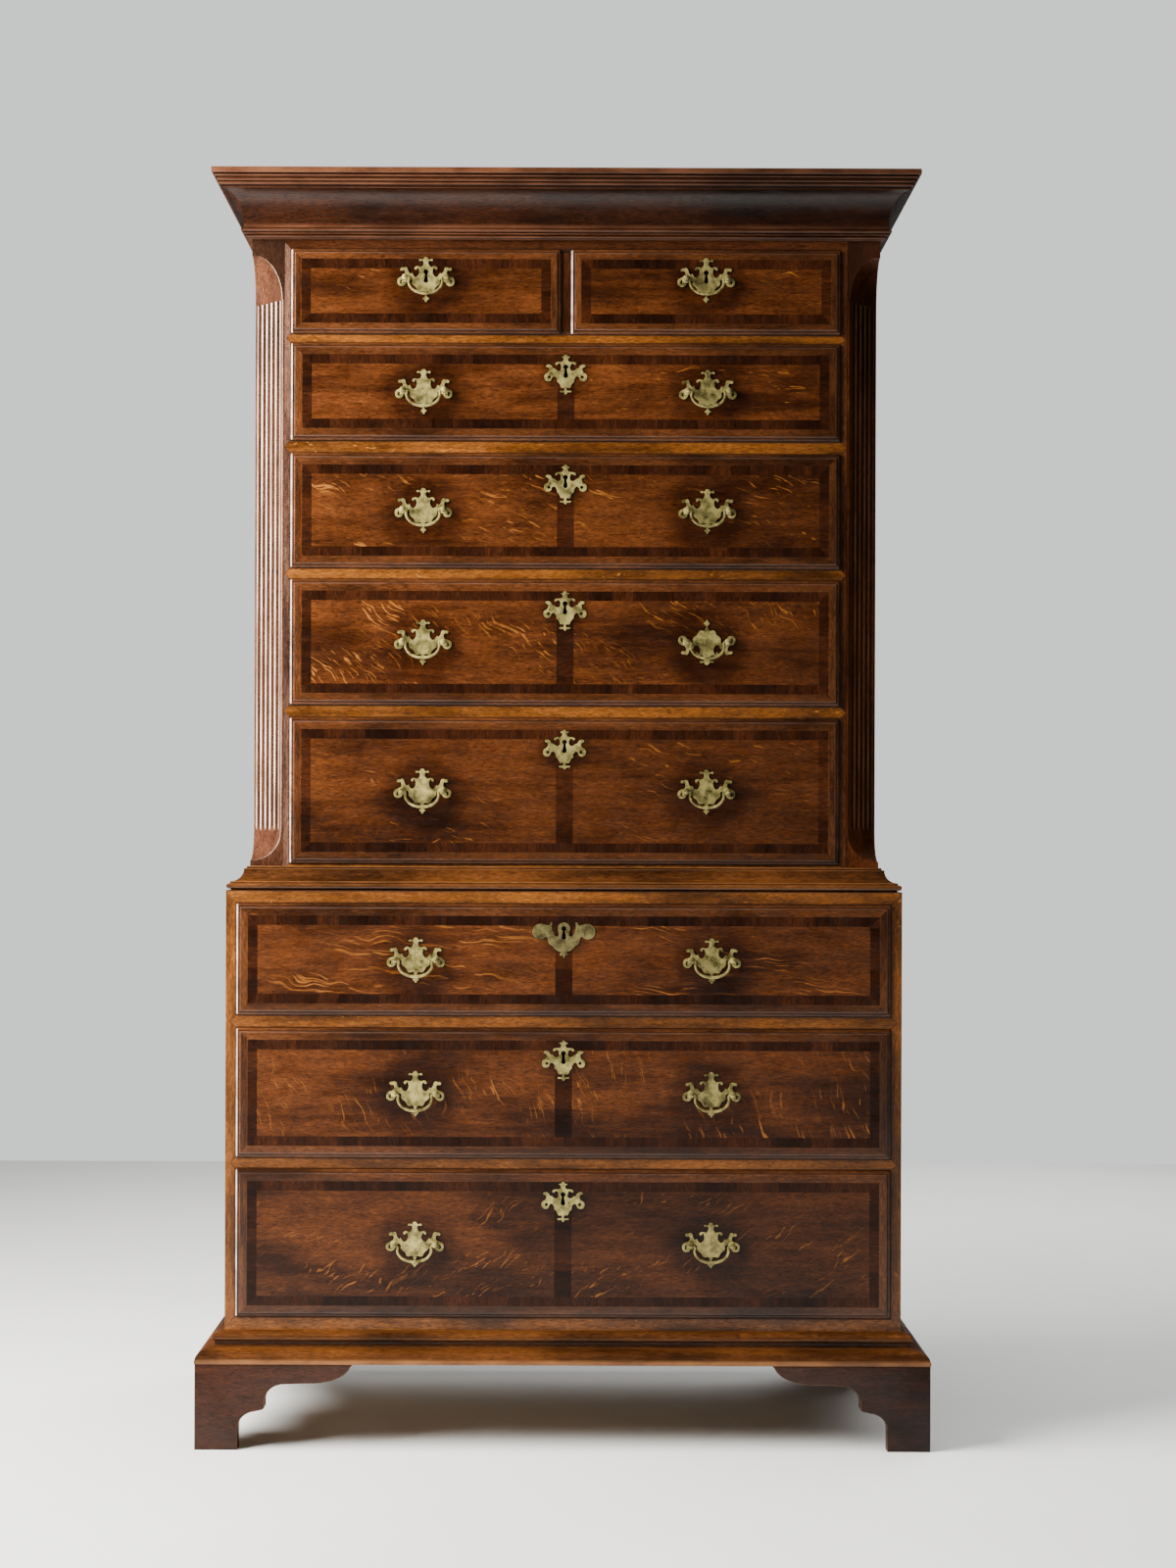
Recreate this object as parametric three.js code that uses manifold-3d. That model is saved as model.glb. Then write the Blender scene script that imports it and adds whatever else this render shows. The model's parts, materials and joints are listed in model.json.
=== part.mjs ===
// A George III style oak chest on chest: nine lipped drawers in two stacked cases, with a canted and
// fluted upper case, a cornice, bracket feet, and brass bail handles that swing in their posts.
// Millimetres, +Z up. The front faces -Y, the origin is under the middle of the whole chest.
import * as THREE from 'three';
import { mergeVertices } from 'three/addons/utils/BufferGeometryUtils.js';
import Module from 'manifold-3d';

const wasm = await Module();
wasm.setup();

// Case sizes
const lowerWidth = 984;
const lowerDepth = 510;
const setback = 31; // how far the upper case stands in from the lower one, at the front and both sides
const sideThickness = 20;
const boardThickness = 18;
const backThickness = 10;
const dustThickness = 12;
const railDepth = 66;
const stileDepth = 18;

// Mouldings and feet
const footHeight = 123;
const footLength = 228;
const footThickness = 22;
const footInset = 1;
const footBlock = 52;
const baseHeight = 43;
const baseProjection = 39;
const waistHeight = 35;
const corniceHeight = 93;
const corniceProjection = 53;
const rearBracketLength = 150;
const waistTongue = 3; // how far the lower sides rise into the waist moulding that is glued on them

// Front frame: the faces that show between the drawers, from the bottom up
const wideRail = 19;
const midRail = 17;
const thinRail = 14;
const plinthRail = 19;
const sillRail = 4;
const lowerBottomHeight = 215; // the height of each drawer's front, from the bottom up
const lowerMiddleHeight = 188;
const lowerTopHeight = 162;
const upperBottomHeight = 214;
const upperThirdHeight = 184;
const upperSecondHeight = 168;
const upperFirstHeight = 142.5;
const shortHeight = 124;
const lowerStile = 16;
const upperStile = 13;
const dividerFace = 15;

// Canted corners of the upper case
const cant = 45;
const fluteCount = 5;
const fluteWidth = 8;
const fluteDepth = 2.4;
const fluteEnd = 5;
const fluteSides = 8;
const fluteMargin = 5;
const lowStopStart = 8; // the full square corner over the waist moulding
const lowStopLength = 42;
const lowStopStep = 10; // the flat between the hollow and the flutes
const highStopStart = 23;
const highStopLength = 65;
const highStopStep = 2;

// Drawer fronts and boxes
const lipOverlap = 4;
const lipProud = 6;
const lipEdge = 7.5;
const frontThickness = 22;
const drawerSide = 11;
const drawerBottom = 8;
const drawerGap = 1;
const drawerRise = 7;
const drawerEndGap = 14;
const bottomRaise = 5;
const guideHeight = 22;

// Handles
const postSpacing = 60;
const plateWidth = 83;
const plateHeight = 66;
const plateThickness = 1.8;
const postReach = 13;
const postBall = 4.6;
const postNeck = 2.8;
const postCollar = 5.4;
const shank = 4;
const nutSize = 8;
const nutHeight = 3;
const bailRadius = 1.7;
const bailDrop = 24.5;
const bailHalfWidth = 23.5;
const bailPin = 3;
const rodSides = 6;
const longHandleOffsetUpper = 208;
const longHandleOffsetLower = 215;
const shortHandleRise = 17;

// Locks and escutcheons
const keyDrop = 35;
const keyRadius = 3;
const keyLength = 12;
const keySlot = 2.2;
const shortKeyRise = 10.5; // a short drawer's keyhole stands this far over its handle's posts
const boltWidth = 26;
const boltThickness = 6;
const boltLength = 22;
const boltSetIn = 13;
const boltThrow = 7;
const lockWidth = 46;
const lockProud = 4;
const lockTail = 14;
const escutcheonWidth = 63;
const escutcheonHeight = 58;
const wideEscutcheonWidth = 90;
const wideEscutcheonHeight = 54;
const escutcheonThickness = 1.2;
const keySides = 8;

// Clearances
const seat = 0.2;
const running = 0.3;
const boltClearance = 0.4;
const overrun = 2;
const mergeTolerance = 1e-5;

// Rows of drawers, from the bottom up: the height of each front and of the rail face under it
const lowerRows = [
  { name: 'lower_bottom', height: lowerBottomHeight, railBelow: plinthRail },
  { name: 'lower_middle', height: lowerMiddleHeight, railBelow: midRail },
  { name: 'lower_top', height: lowerTopHeight, railBelow: wideRail },
];
const lowerTopRail = wideRail;
const upperRows = [
  { name: 'upper_bottom', height: upperBottomHeight, railBelow: sillRail },
  { name: 'upper_third', height: upperThirdHeight, railBelow: wideRail },
  { name: 'upper_second', height: upperSecondHeight, railBelow: midRail },
  { name: 'upper_first', height: upperFirstHeight, railBelow: wideRail },
  { name: 'upper_short', height: shortHeight, railBelow: thinRail },
];
const upperTopRail = thinRail;

// Places worked out from the sizes
const upperWidth = lowerWidth - 2 * setback;
const backY = (lowerDepth + baseProjection) / 2;
const lowerFront = backY - lowerDepth;
const upperFront = lowerFront + setback;
const lowerBottom = footHeight;
placeRows(lowerRows, footHeight + baseHeight);
const lowerTop = topOfRows(lowerRows) + lowerTopRail;
const upperBottom = lowerTop + seat;
placeRows(upperRows, lowerTop + waistHeight);
const corniceBottom = topOfRows(upperRows) + upperTopRail;
const overallHeight = corniceBottom + corniceHeight;
const frameTop = overallHeight - boardThickness - seat;
const longWidthLower = lowerWidth - 2 * lowerStile;
const longWidthUpper = upperWidth - 2 * (cant + upperStile);
const shortWidth = (longWidthUpper - dividerFace) / 2;
const postX = postSpacing / 2;
const boreRadius = (bailRadius + running) / Math.cos(Math.PI / rodSides);
const frontFace = running + lipProud; // from the frame's face out to a drawer's face

function placeRows(rows, start) {
  let z = start;
  for (const row of rows) {
    row.low = z + row.railBelow;
    row.high = row.low + row.height;
    z = row.high;
  }
}

function topOfRows(rows) {
  return rows[rows.length - 1].high;
}

// Solids

function solid(geometry) {
  const bare = geometry.clone();
  bare.deleteAttribute('normal');
  bare.deleteAttribute('uv');
  const merged = mergeVertices(bare, mergeTolerance);
  const vertProperties = new Float32Array(merged.attributes.position.array);
  const triVerts = new Uint32Array(merged.index.array);
  if (signedVolume(vertProperties, triVerts) < 0) {
    triVerts.reverse();
  }
  return new wasm.Manifold(new wasm.Mesh({ numProp: 3, vertProperties, triVerts }));
}

// Six times the enclosed volume, negative where the faces point inwards.
function signedVolume(points, triangles) {
  const [a, b, c] = [new THREE.Vector3(), new THREE.Vector3(), new THREE.Vector3()];
  let sum = 0;
  for (let i = 0; i < triangles.length; i += 3) {
    a.fromArray(points, 3 * triangles[i]);
    b.fromArray(points, 3 * triangles[i + 1]);
    c.fromArray(points, 3 * triangles[i + 2]);
    sum += a.dot(b.cross(c));
  }
  return sum;
}

function toGeometry(body) {
  const mesh = body.getMesh();
  const geometry = new THREE.BufferGeometry();
  geometry.setAttribute('position', new THREE.BufferAttribute(new Float32Array(mesh.vertProperties), 3));
  geometry.setIndex(new THREE.BufferAttribute(new Uint32Array(mesh.triVerts), 1));
  geometry.computeVertexNormals();
  return geometry;
}

function join(bodies) {
  return bodies.reduce((sum, body) => sum.add(body));
}

function cut(body, tools) {
  return tools.reduce((rest, tool) => rest.subtract(tool), body);
}

function block(x0, x1, y0, y1, z0, z1) {
  const box = new THREE.BoxGeometry(x1 - x0, y1 - y0, z1 - z0);
  box.translate((x0 + x1) / 2, (y0 + y1) / 2, (z0 + z1) / 2);
  return solid(box);
}

// Joins rings of equally many points, each a list of [x, y, z], into a closed body with flat ends.
function loft(rings) {
  const count = rings[0].length;
  const index = [];
  for (let r = 0; r + 1 < rings.length; r += 1) {
    for (let i = 0; i < count; i += 1) {
      const j = (i + 1) % count;
      const a = r * count + i;
      const b = r * count + j;
      index.push(a, b, b + count, a, b + count, a + count);
    }
  }
  const last = (rings.length - 1) * count;
  for (const [a, b, c] of capTriangles(rings[0])) {
    index.push(c, b, a);
  }
  for (const [a, b, c] of capTriangles(rings[rings.length - 1])) {
    index.push(last + a, last + b, last + c);
  }
  const geometry = new THREE.BufferGeometry();
  geometry.setAttribute('position', new THREE.Float32BufferAttribute(rings.flat(2), 3));
  geometry.setIndex(index);
  return solid(geometry);
}

// Triangles of a flat ring, turned to the ring's own direction.
function capTriangles(ring) {
  const points = ring.map((p) => new THREE.Vector3(...p));
  const normal = new THREE.Vector3();
  const edge = new THREE.Vector3();
  for (let i = 0; i < points.length; i += 1) {
    normal.add(edge.crossVectors(points[i], points[(i + 1) % points.length]));
  }
  normal.normalize();
  const across = new THREE.Vector3().subVectors(points[1], points[0]).normalize();
  const up = new THREE.Vector3().crossVectors(normal, across);
  const flat = points.map((p) => new THREE.Vector2(p.dot(across), p.dot(up)));
  return THREE.ShapeUtils.triangulateShape(flat, []);
}

// An outline of [across, z] made into a slab that stands upright, facing -Y and as deep as it is told.
function uprightSlab(outline, depth) {
  const shape = new THREE.Shape(outline.map(([across, z]) => new THREE.Vector2(across, z)));
  const slab = new THREE.ExtrudeGeometry(shape, { depth, bevelEnabled: false });
  slab.rotateX(Math.PI / 2);
  slab.translate(0, depth, 0);
  return slab;
}

// A plate across the front, from y0 back to y1, with its outline in X and Z.
function plate(outline, y0, y1) {
  return solid(uprightSlab(outline, y1 - y0).translate(0, y0, 0));
}

// A plate along the side, from x0 to x1, with its outline in Y and Z.
function sidePlate(outline, x0, x1) {
  return solid(uprightSlab(outline, x1 - x0).rotateZ(Math.PI / 2).translate(x1, 0, 0));
}

function squareBar(x, z, size, y0, y1) {
  return block(x - size / 2, x + size / 2, y0, y1, z - size / 2, z + size / 2);
}

// A round bar along +Y from y0 to y1, with any number of [radius, y] steps turned about its axis.
function turned(x, z, steps, sides) {
  const profile = steps.map(([radius, y]) => new THREE.Vector2(radius, y));
  const lathe = new THREE.LatheGeometry(profile, sides);
  lathe.translate(x, 0, z);
  return solid(lathe);
}

function mirrored(half) {
  const other = half
    .filter(([x]) => x > 0)
    .map(([x, z]) => [-x, z])
    .reverse();
  return [...half, ...other];
}

// Scales a half outline of [share of half the width, share of the height] and mirrors it.
function fromShares(halfShares, width, height, x, z) {
  const half = halfShares.map(([across, up]) => [(across * width) / 2, up * height]);
  return mirrored(half).map(([px, pz]) => [x + px, z + pz]);
}

// Runs a moulding's section along the left side, the front and the right side, mitred at the corners.
// Its points are [share of the projection, share of the height]; the back of the section lies on the case.
function mitredMoulding(sectionShares, size, gap) {
  const { halfWidth, front, low, height, projection } = size;
  const section = sectionShares.map(([out, up]) => [Math.max(out * projection, gap), low + up * height]);
  const stations = [
    ([out, z]) => [-halfWidth - out, backY, z],
    ([out, z]) => [-halfWidth - out, front - out, z],
    ([out, z]) => [halfWidth + out, front - out, z],
    ([out, z]) => [halfWidth + out, backY, z],
  ];
  return loft(stations.map((station) => section.map(station)));
}

// Sections of the mouldings, from the bottom up on the outside
const corniceSectionShares = [
  [0, 0], [0.11, 0.01], [0.18, 0.04], [0.22, 0.08], [0.28, 0.1], [0.28, 0.15], [0.22, 0.17],
  [0.22, 0.33], [0.27, 0.49], [0.36, 0.6], [0.53, 0.68], [0.75, 0.715], [0.78, 0.75],
  [0.82, 0.76], [0.82, 0.79], [0.86, 0.8], [0.87, 0.83], [0.92, 0.84], [0.93, 0.88],
  [1, 0.89], [1, 1], [0, 1],
];
const waistSectionShares = [
  [0, 0], [0.9, 0], [0.98, 0.06], [1, 0.13], [0.98, 0.2], [0.9, 0.26], [0.8, 0.28], [0.8, 0.34],
  [0.55, 0.4], [0.36, 0.54], [0.26, 0.74], [0.24, 0.9], [0.14, 0.9], [0.14, 1], [0, 1],
];
const baseSectionShares = [
  [0, 0], [1, 0], [1, 0.12], [0.97, 0.14], [0.95, 0.26], [0.84, 0.38], [0.68, 0.45], [0.4, 0.48],
  [0.3, 0.54], [0.28, 0.68], [0.39, 0.74], [0.39, 0.79], [0.34, 0.87], [0.22, 0.95], [0.05, 1], [0, 1],
];

// The bracket's lower edge, from the floor to the moulding: shares of the foot's length and height
const bracketShares = [
  [0.285, 0], [0.285, 0.265], [0.31, 0.39], [0.38, 0.46], [0.442, 0.495], [0.442, 0.585],
  [0.455, 0.66], [0.49, 0.725], [0.54, 0.763], [0.6, 0.775], [0.8, 0.79], [0.89, 0.825], [0.955, 0.9], [1, 1],
];

// Half outlines of the brasses: shares of half the width and of the height
const plateHalfShares = [
  [0, 0.49], [0.09, 0.45], [0.21, 0.43], [0.09, 0.36], [0.16, 0.275], [0.37, 0.28], [0.36, 0.21],
  [0.24, 0.14], [0.36, 0.045], [0.48, 0.125], [0.59, 0.13], [0.67, 0.26], [0.88, 0.23], [0.75, 0.12],
  [1, -0.01], [0.9, -0.15], [0.72, -0.12], [0.58, -0.01], [0.44, -0.15], [0.25, -0.275],
  [0.05, -0.3], [0.11, -0.44], [0, -0.51],
];
const escutcheonHalfShares = [
  [0, 0.31], [0.19, 0.25], [0.11, 0.15], [0.45, 0.12], [0.23, 0], [0.42, -0.085], [0.87, 0.06],
  [0.8, -0.08], [1, -0.24], [0.82, -0.36], [0.58, -0.23], [0.42, -0.29], [0.22, -0.52],
  [0.06, -0.54], [0.25, -0.61], [0, -0.69],
];
const wideEscutcheonHalfShares = [
  [0, 0.18], [0.14, 0.15], [0.2, 0], [0.15, -0.12], [0.28, -0.16], [0.42, -0.02], [0.4, 0.2],
  [0.5, 0.12], [0.82, 0.15], [0.98, 0.02], [0.96, -0.18], [0.8, -0.26], [0.64, -0.22], [0.48, -0.44],
  [0.14, -0.6], [0.1, -0.68], [0, -0.74],
];

// Half of a bail's middle line, from the post down to the lowest point: shares of half the width and the drop
const bailShares = [[1, 0.2], [0.88, 0.62], [0.45, 0.93], [0, 1]];

// The rounded edge of a drawer's lip, from the back to the face: shares of the edge's width and height
const lipShares = [[0, 0], [0, 0.45], [0.4, 0.75], [1, 1]];

// The hollowed stop of a canted corner: shares of its length and of the cant
const stopShares = [[0, 0], [0.14, 0.46], [0.48, 0.8], [1, 1]];

// Drawers

// The keyhole's outline, with its round end at the top.
function keyholeOutline(x, z) {
  const points = [];
  for (let i = 0; i <= keySides - 2; i += 1) {
    const angle = -Math.PI / 4 + (i * 2 * Math.PI) / keySides;
    points.push([x + keyRadius * Math.cos(angle), z + keyRadius * Math.sin(angle)]);
  }
  return [...points, [x - keySlot, z - keyLength], [x + keySlot, z - keyLength]];
}

// The lip: a slab with a rounded edge, worked from the back to the face.
function drawerLip(x0, x1, z0, z1, frameFace) {
  const rings = lipShares.map(([across, out]) => {
    const inset = across * lipEdge;
    const y = frameFace - running - out * lipProud;
    return [
      [x0 + inset, y, z0 + inset],
      [x1 - inset, y, z0 + inset],
      [x1 - inset, y, z1 - inset],
      [x0 + inset, y, z1 - inset],
    ];
  });
  return loft(rings);
}

function drawerBody(drawer) {
  const { x0, x1, z0, z1, frameFace, boxEnd, handles, keyZ, escutcheon } = drawer;
  const middle = (x0 + x1) / 2;
  const reach = lipOverlap + drawerGap;
  const [ix0, ix1, iz0, iz1] = [x0 + reach, x1 - reach, z0 + lipOverlap + seat, z1 - reach];
  const inner = frameFace + frontThickness;
  const sideTop = iz1 - drawerRise;
  const floor = iz0 + bottomRaise;
  const face = frameFace - frontFace;
  const lockLow = keyZ - lockTail;
  const parts = [
    drawerLip(x0, x1, z0, z1, frameFace),
    block(ix0, ix1, frameFace - running - overrun, inner, iz0, iz1),
    block(ix0, ix0 + drawerSide, inner - overrun, boxEnd, iz0, sideTop),
    block(ix1 - drawerSide, ix1, inner - overrun, boxEnd, iz0, sideTop),
    block(ix0 + overrun, ix1 - overrun, boxEnd - drawerSide, boxEnd, floor, sideTop),
    block(ix0 + overrun, ix1 - overrun, inner - overrun, boxEnd - overrun, floor, floor + drawerBottom),
    block(middle - lockWidth / 2, middle + lockWidth / 2, inner - overrun, inner + lockProud, lockLow, iz1),
  ];
  if (escutcheon) {
    const outline = fromShares(escutcheon.shares, escutcheon.width, escutcheon.height, middle, keyZ);
    parts.push(plate(outline, face - escutcheonThickness, face + overrun));
  }
  const slotY = frameFace + boltSetIn;
  const half = boltThickness / 2 + boltClearance;
  const slotHalf = boltWidth / 2 + boltClearance;
  const slotLow = iz1 - seat - boltLength - boltClearance;
  const cuts = [
    block(middle - slotHalf, middle + slotHalf, slotY - half, slotY + half, slotLow, iz1 + overrun),
    plate(keyholeOutline(middle, keyZ), face - plateThickness - overrun, slotY + half),
  ];
  for (const [hx, hz] of handles) {
    for (const side of [-postX, postX]) {
      cuts.push(squareBar(hx + side, hz, shank + 2 * running, face - overrun, inner + overrun));
    }
  }
  return cut(join(parts), cuts);
}

function boltBody(drawer) {
  const { x0, x1, z1, frameFace } = drawer;
  const middle = (x0 + x1) / 2;
  const y = frameFace + boltSetIn;
  const top = z1 - lipOverlap - drawerGap - seat;
  return block(
    middle - boltWidth / 2, middle + boltWidth / 2,
    y - boltThickness / 2, y + boltThickness / 2,
    top - boltLength, top,
  );
}

// The mortise over a drawer that takes its bolt, cut up into the rail.
function boltMortise(drawer) {
  const { x0, x1, z1, frameFace } = drawer;
  const middle = (x0 + x1) / 2;
  const y = frameFace + boltSetIn;
  const low = z1 - lipOverlap;
  const depth = boltThrow + drawerGap;
  const half = boltThickness / 2 + drawerGap;
  const halfWidth = boltWidth / 2 + drawerGap;
  return block(middle - halfWidth, middle + halfWidth, y - half, y + half, low - overrun, low + depth);
}

// Handles

// A backplate with its two posts, whose heads are bored for the bail and whose square shanks run
// through the drawer front to a nut inside.
function handlePlate(x, z, frameFace, keyed, upsideDown) {
  const face = frameFace - frontFace - seat;
  const front = face - plateThickness;
  const nutFace = frameFace + frontThickness + seat;
  const height = upsideDown ? -plateHeight : plateHeight;
  const parts = [plate(fromShares(plateHalfShares, plateWidth, height, x, z), front, face)];
  const pivotY = front - postReach;
  for (const side of [-postX, postX]) {
    const steps = [
      [0, pivotY - postBall],
      [postBall, pivotY - boreRadius],
      [postBall, pivotY + boreRadius],
      [postNeck, pivotY + postBall],
      [postCollar, front],
      [0, front + plateThickness / 2],
    ];
    parts.push(turned(x + side, z, steps, rodSides));
    parts.push(squareBar(x + side, z, shank, front + plateThickness / 2, nutFace + nutHeight));
    parts.push(squareBar(x + side, z, nutSize, nutFace, nutFace + nutHeight));
  }
  const reach = postX + postBall + overrun;
  const bore = new THREE.CylinderGeometry(boreRadius, boreRadius, 2 * reach, rodSides);
  bore.rotateZ(Math.PI / 2);
  bore.translate(x, pivotY, z);
  const cuts = [solid(bore)];
  if (keyed) cuts.push(plate(keyholeOutline(x, z + shortKeyRise), front - overrun, face + overrun));
  return cut(join(parts), cuts);
}

// The bail: a bent rod from one post's bore, down round the bottom and up to the other's.
function bailBody(x, z, frameFace) {
  const pivotY = frameFace - frontFace - seat - plateThickness - postReach;
  const right = [
    [postX + bailPin, 0],
    [postX - postBall - bailRadius, 0],
    ...bailShares.map(([across, down]) => [across * bailHalfWidth, -down * bailDrop]),
  ];
  const left = right
    .slice(0, -1)
    .map(([px, pz]) => [-px, pz])
    .reverse();
  const points = [...right, ...left].map(([px, pz]) => new THREE.Vector3(px, 0, pz));
  const rings = points.map((point, i) => {
    const before = points[Math.max(i - 1, 0)];
    const after = points[Math.min(i + 1, points.length - 1)];
    const along = new THREE.Vector3().subVectors(after, before).normalize();
    const across = new THREE.Vector3(0, 1, 0);
    const up = new THREE.Vector3().crossVectors(along, across);
    const ring = [];
    for (let k = 0; k < rodSides; k += 1) {
      const angle = (k * 2 * Math.PI) / rodSides;
      const spot = point
        .clone()
        .addScaledVector(across, bailRadius * Math.cos(angle))
        .addScaledVector(up, bailRadius * Math.sin(angle));
      ring.push([x + spot.x, pivotY + spot.y, z + spot.z]);
    }
    return ring;
  });
  return loft(rings);
}

// Cases

// A case's boards: two sides, top, bottom, back, and a dust board behind each rail.
function caseBoards(size, rows, frameFace) {
  const { halfWidth, low, high, sideFront, topFront } = size;
  const inside = halfWidth - sideThickness;
  const boardFront = frameFace + railDepth + seat;
  const parts = [
    block(-halfWidth, -inside, sideFront, backY, low, high),
    block(inside, halfWidth, sideFront, backY, low, high),
    block(-inside - overrun, inside + overrun, backY - backThickness, backY, low, high),
    block(-halfWidth, halfWidth, topFront, backY - overrun, high - boardThickness, high),
  ];
  for (const row of rows) {
    const top = row.low + lipOverlap;
    const thickness = row === rows[0] ? top - low : dustThickness;
    parts.push(block(-inside - overrun, inside + overrun, boardFront, backY - overrun, top - thickness, top));
  }
  return { parts, inside, boardFront };
}

function lowerCase() {
  const half = lowerWidth / 2;
  const front = lowerFront + stileDepth + seat;
  const size = {
    halfWidth: half,
    low: lowerBottom,
    high: lowerTop,
    sideFront: front,
    topFront: lowerFront + railDepth + seat,
  };
  const { parts } = caseBoards(size, lowerRows, lowerFront);
  const tongueOuter = half - waistTongue;
  const tongueInner = half - sideThickness;
  parts.push(
    block(-tongueOuter, -tongueInner, front, backY, lowerTop - overrun, lowerTop + waistTongue),
    block(tongueInner, tongueOuter, front, backY, lowerTop - overrun, lowerTop + waistTongue),
  );
  const waist = {
    halfWidth: upperWidth / 2,
    front: upperFront,
    low: lowerTop + seat,
    height: waistHeight - seat,
    projection: setback,
  };
  parts.push(mitredMoulding(waistSectionShares, waist, running));
  return join(parts);
}

function upperCase() {
  const size = {
    halfWidth: upperWidth / 2,
    low: upperBottom,
    high: overallHeight,
    sideFront: upperFront + railDepth + seat,
    topFront: upperFront,
  };
  const { parts, inside, boardFront } = caseBoards(size, upperRows, upperFront);
  const opening = longWidthUpper / 2 - lipOverlap;
  for (const row of upperRows) {
    const low = row.low + lipOverlap;
    for (const side of [-1, 1]) {
      const near = side * opening;
      const far = side * (inside + overrun);
      const [x0, x1] = [Math.min(near, far), Math.max(near, far)];
      parts.push(block(x0, x1, boardFront, backY - overrun, low - overrun, low + guideHeight));
    }
  }
  const short = upperRows[upperRows.length - 1];
  const halfGuide = dividerFace / 2 + lipOverlap;
  const floor = short.low + lipOverlap;
  parts.push(block(-halfGuide, halfGuide, boardFront, backY - overrun, floor - overrun, floor + guideHeight));
  return join(parts);
}

// Rails between the fronts of a case; each reaches behind the lips of the drawers over and under it.
function railBodies(rows, size) {
  const { halfSpan, backHalfSpan, frameFace, low, high } = size;
  const back = frameFace + railDepth;
  const bodies = [];
  const rail = (bottom, top) => {
    bodies.push(block(-halfSpan, halfSpan, frameFace, frameFace + stileDepth, bottom, top));
    bodies.push(block(-backHalfSpan, backHalfSpan, frameFace + stileDepth - overrun, back, bottom, top));
  };
  rows.forEach((row, i) => {
    const bottom = i === 0 ? low : rows[i - 1].high - lipOverlap;
    rail(bottom, row.low + lipOverlap);
  });
  rail(topOfRows(rows) - lipOverlap, high);
  return bodies;
}

function lowerFrame(drawers) {
  const half = lowerWidth / 2;
  const stile = lowerStile + lipOverlap;
  const span = {
    halfSpan: half - stile + overrun,
    backHalfSpan: half - sideThickness - seat,
    frameFace: lowerFront,
    low: lowerBottom,
    high: lowerTop,
  };
  const rails = railBodies(lowerRows, span);
  const stiles = [
    block(-half, stile - half, lowerFront, lowerFront + stileDepth, lowerBottom, lowerTop),
    block(half - stile, half, lowerFront, lowerFront + stileDepth, lowerBottom, lowerTop),
  ];
  return cut(join([...rails, ...stiles]), drawers.map(boltMortise));
}

// One canted corner post of the upper case, as sections from the bottom to the top. The corner is full
// square at both ends, and a hollowed stop leads to the cant, which is cut with flutes.
function cornerPost(side) {
  const half = upperWidth / 2;
  const inner = half - cant - upperStile - lipOverlap;
  const cantLow = lowerTop + waistHeight + lowStopStart;
  const cantHigh = corniceBottom - highStopStart;
  const fluteLow = cantLow + lowStopLength + lowStopStep;
  const fluteHigh = cantHigh - highStopLength - highStopStep;
  const levels = [
    [upperBottom, 0],
    ...stopShares.map(([up, depth]) => [cantLow + up * lowStopLength, depth]),
    ...stopShares.map(([down, depth]) => [cantHigh - down * highStopLength, depth]).reverse(),
    [frameTop, 0],
  ];
  const rings = levels.map(([z, depth]) => {
    const c = Math.max(depth * cant, seat);
    return [
      [side * inner, upperFront, z],
      [side * (half - c), upperFront, z],
      [side * half, upperFront + c, z],
      [side * half, upperFront + railDepth, z],
      [side * inner, upperFront + railDepth, z],
    ];
  });
  return cut(loft(rings), cornerFlutes(side, fluteLow, fluteHigh));
}

// Round cutters that stand upright along the cant and taper at their ends.
function cornerFlutes(side, low, high) {
  const cantWidth = cant * Math.SQRT2;
  const radius = (fluteWidth ** 2 / 4 + fluteDepth ** 2) / (2 * fluteDepth);
  const proud = radius - fluteDepth;
  const pitch = (cantWidth - 2 * fluteMargin) / fluteCount;
  const profile = [
    [0, low],
    [proud, low],
    [radius, low + fluteEnd],
    [radius, high - fluteEnd],
    [proud, high],
    [0, high],
  ].map(([r, z]) => new THREE.Vector2(r, z));
  const cutters = [];
  for (let f = 0; f < fluteCount; f += 1) {
    const along = (fluteMargin + (f + 0.5) * pitch) / Math.SQRT2;
    const out = proud / Math.SQRT2;
    const cutter = new THREE.LatheGeometry(profile, fluteSides);
    cutter.rotateX(Math.PI / 2);
    cutter.rotateZ(side * (Math.PI / 4));
    cutter.translate(side * (upperWidth / 2 - cant + along + out), upperFront + along - out, 0);
    cutters.push(solid(cutter));
  }
  return cutters;
}

function upperFrame(drawers) {
  const inner = upperWidth / 2 - cant - upperStile - lipOverlap;
  const span = {
    halfSpan: inner + overrun,
    backHalfSpan: inner + overrun,
    frameFace: upperFront,
    low: upperBottom,
    high: frameTop,
  };
  const rails = railBodies(upperRows, span);
  const short = upperRows[upperRows.length - 1];
  const halfDivider = dividerFace / 2 + lipOverlap;
  const divider = block(
    -halfDivider, halfDivider,
    upperFront, upperFront + railDepth,
    short.low, short.high,
  );
  const frame = join([...rails, divider, cornerPost(-1), cornerPost(1)]);
  return cut(frame, drawers.map(boltMortise));
}

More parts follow.
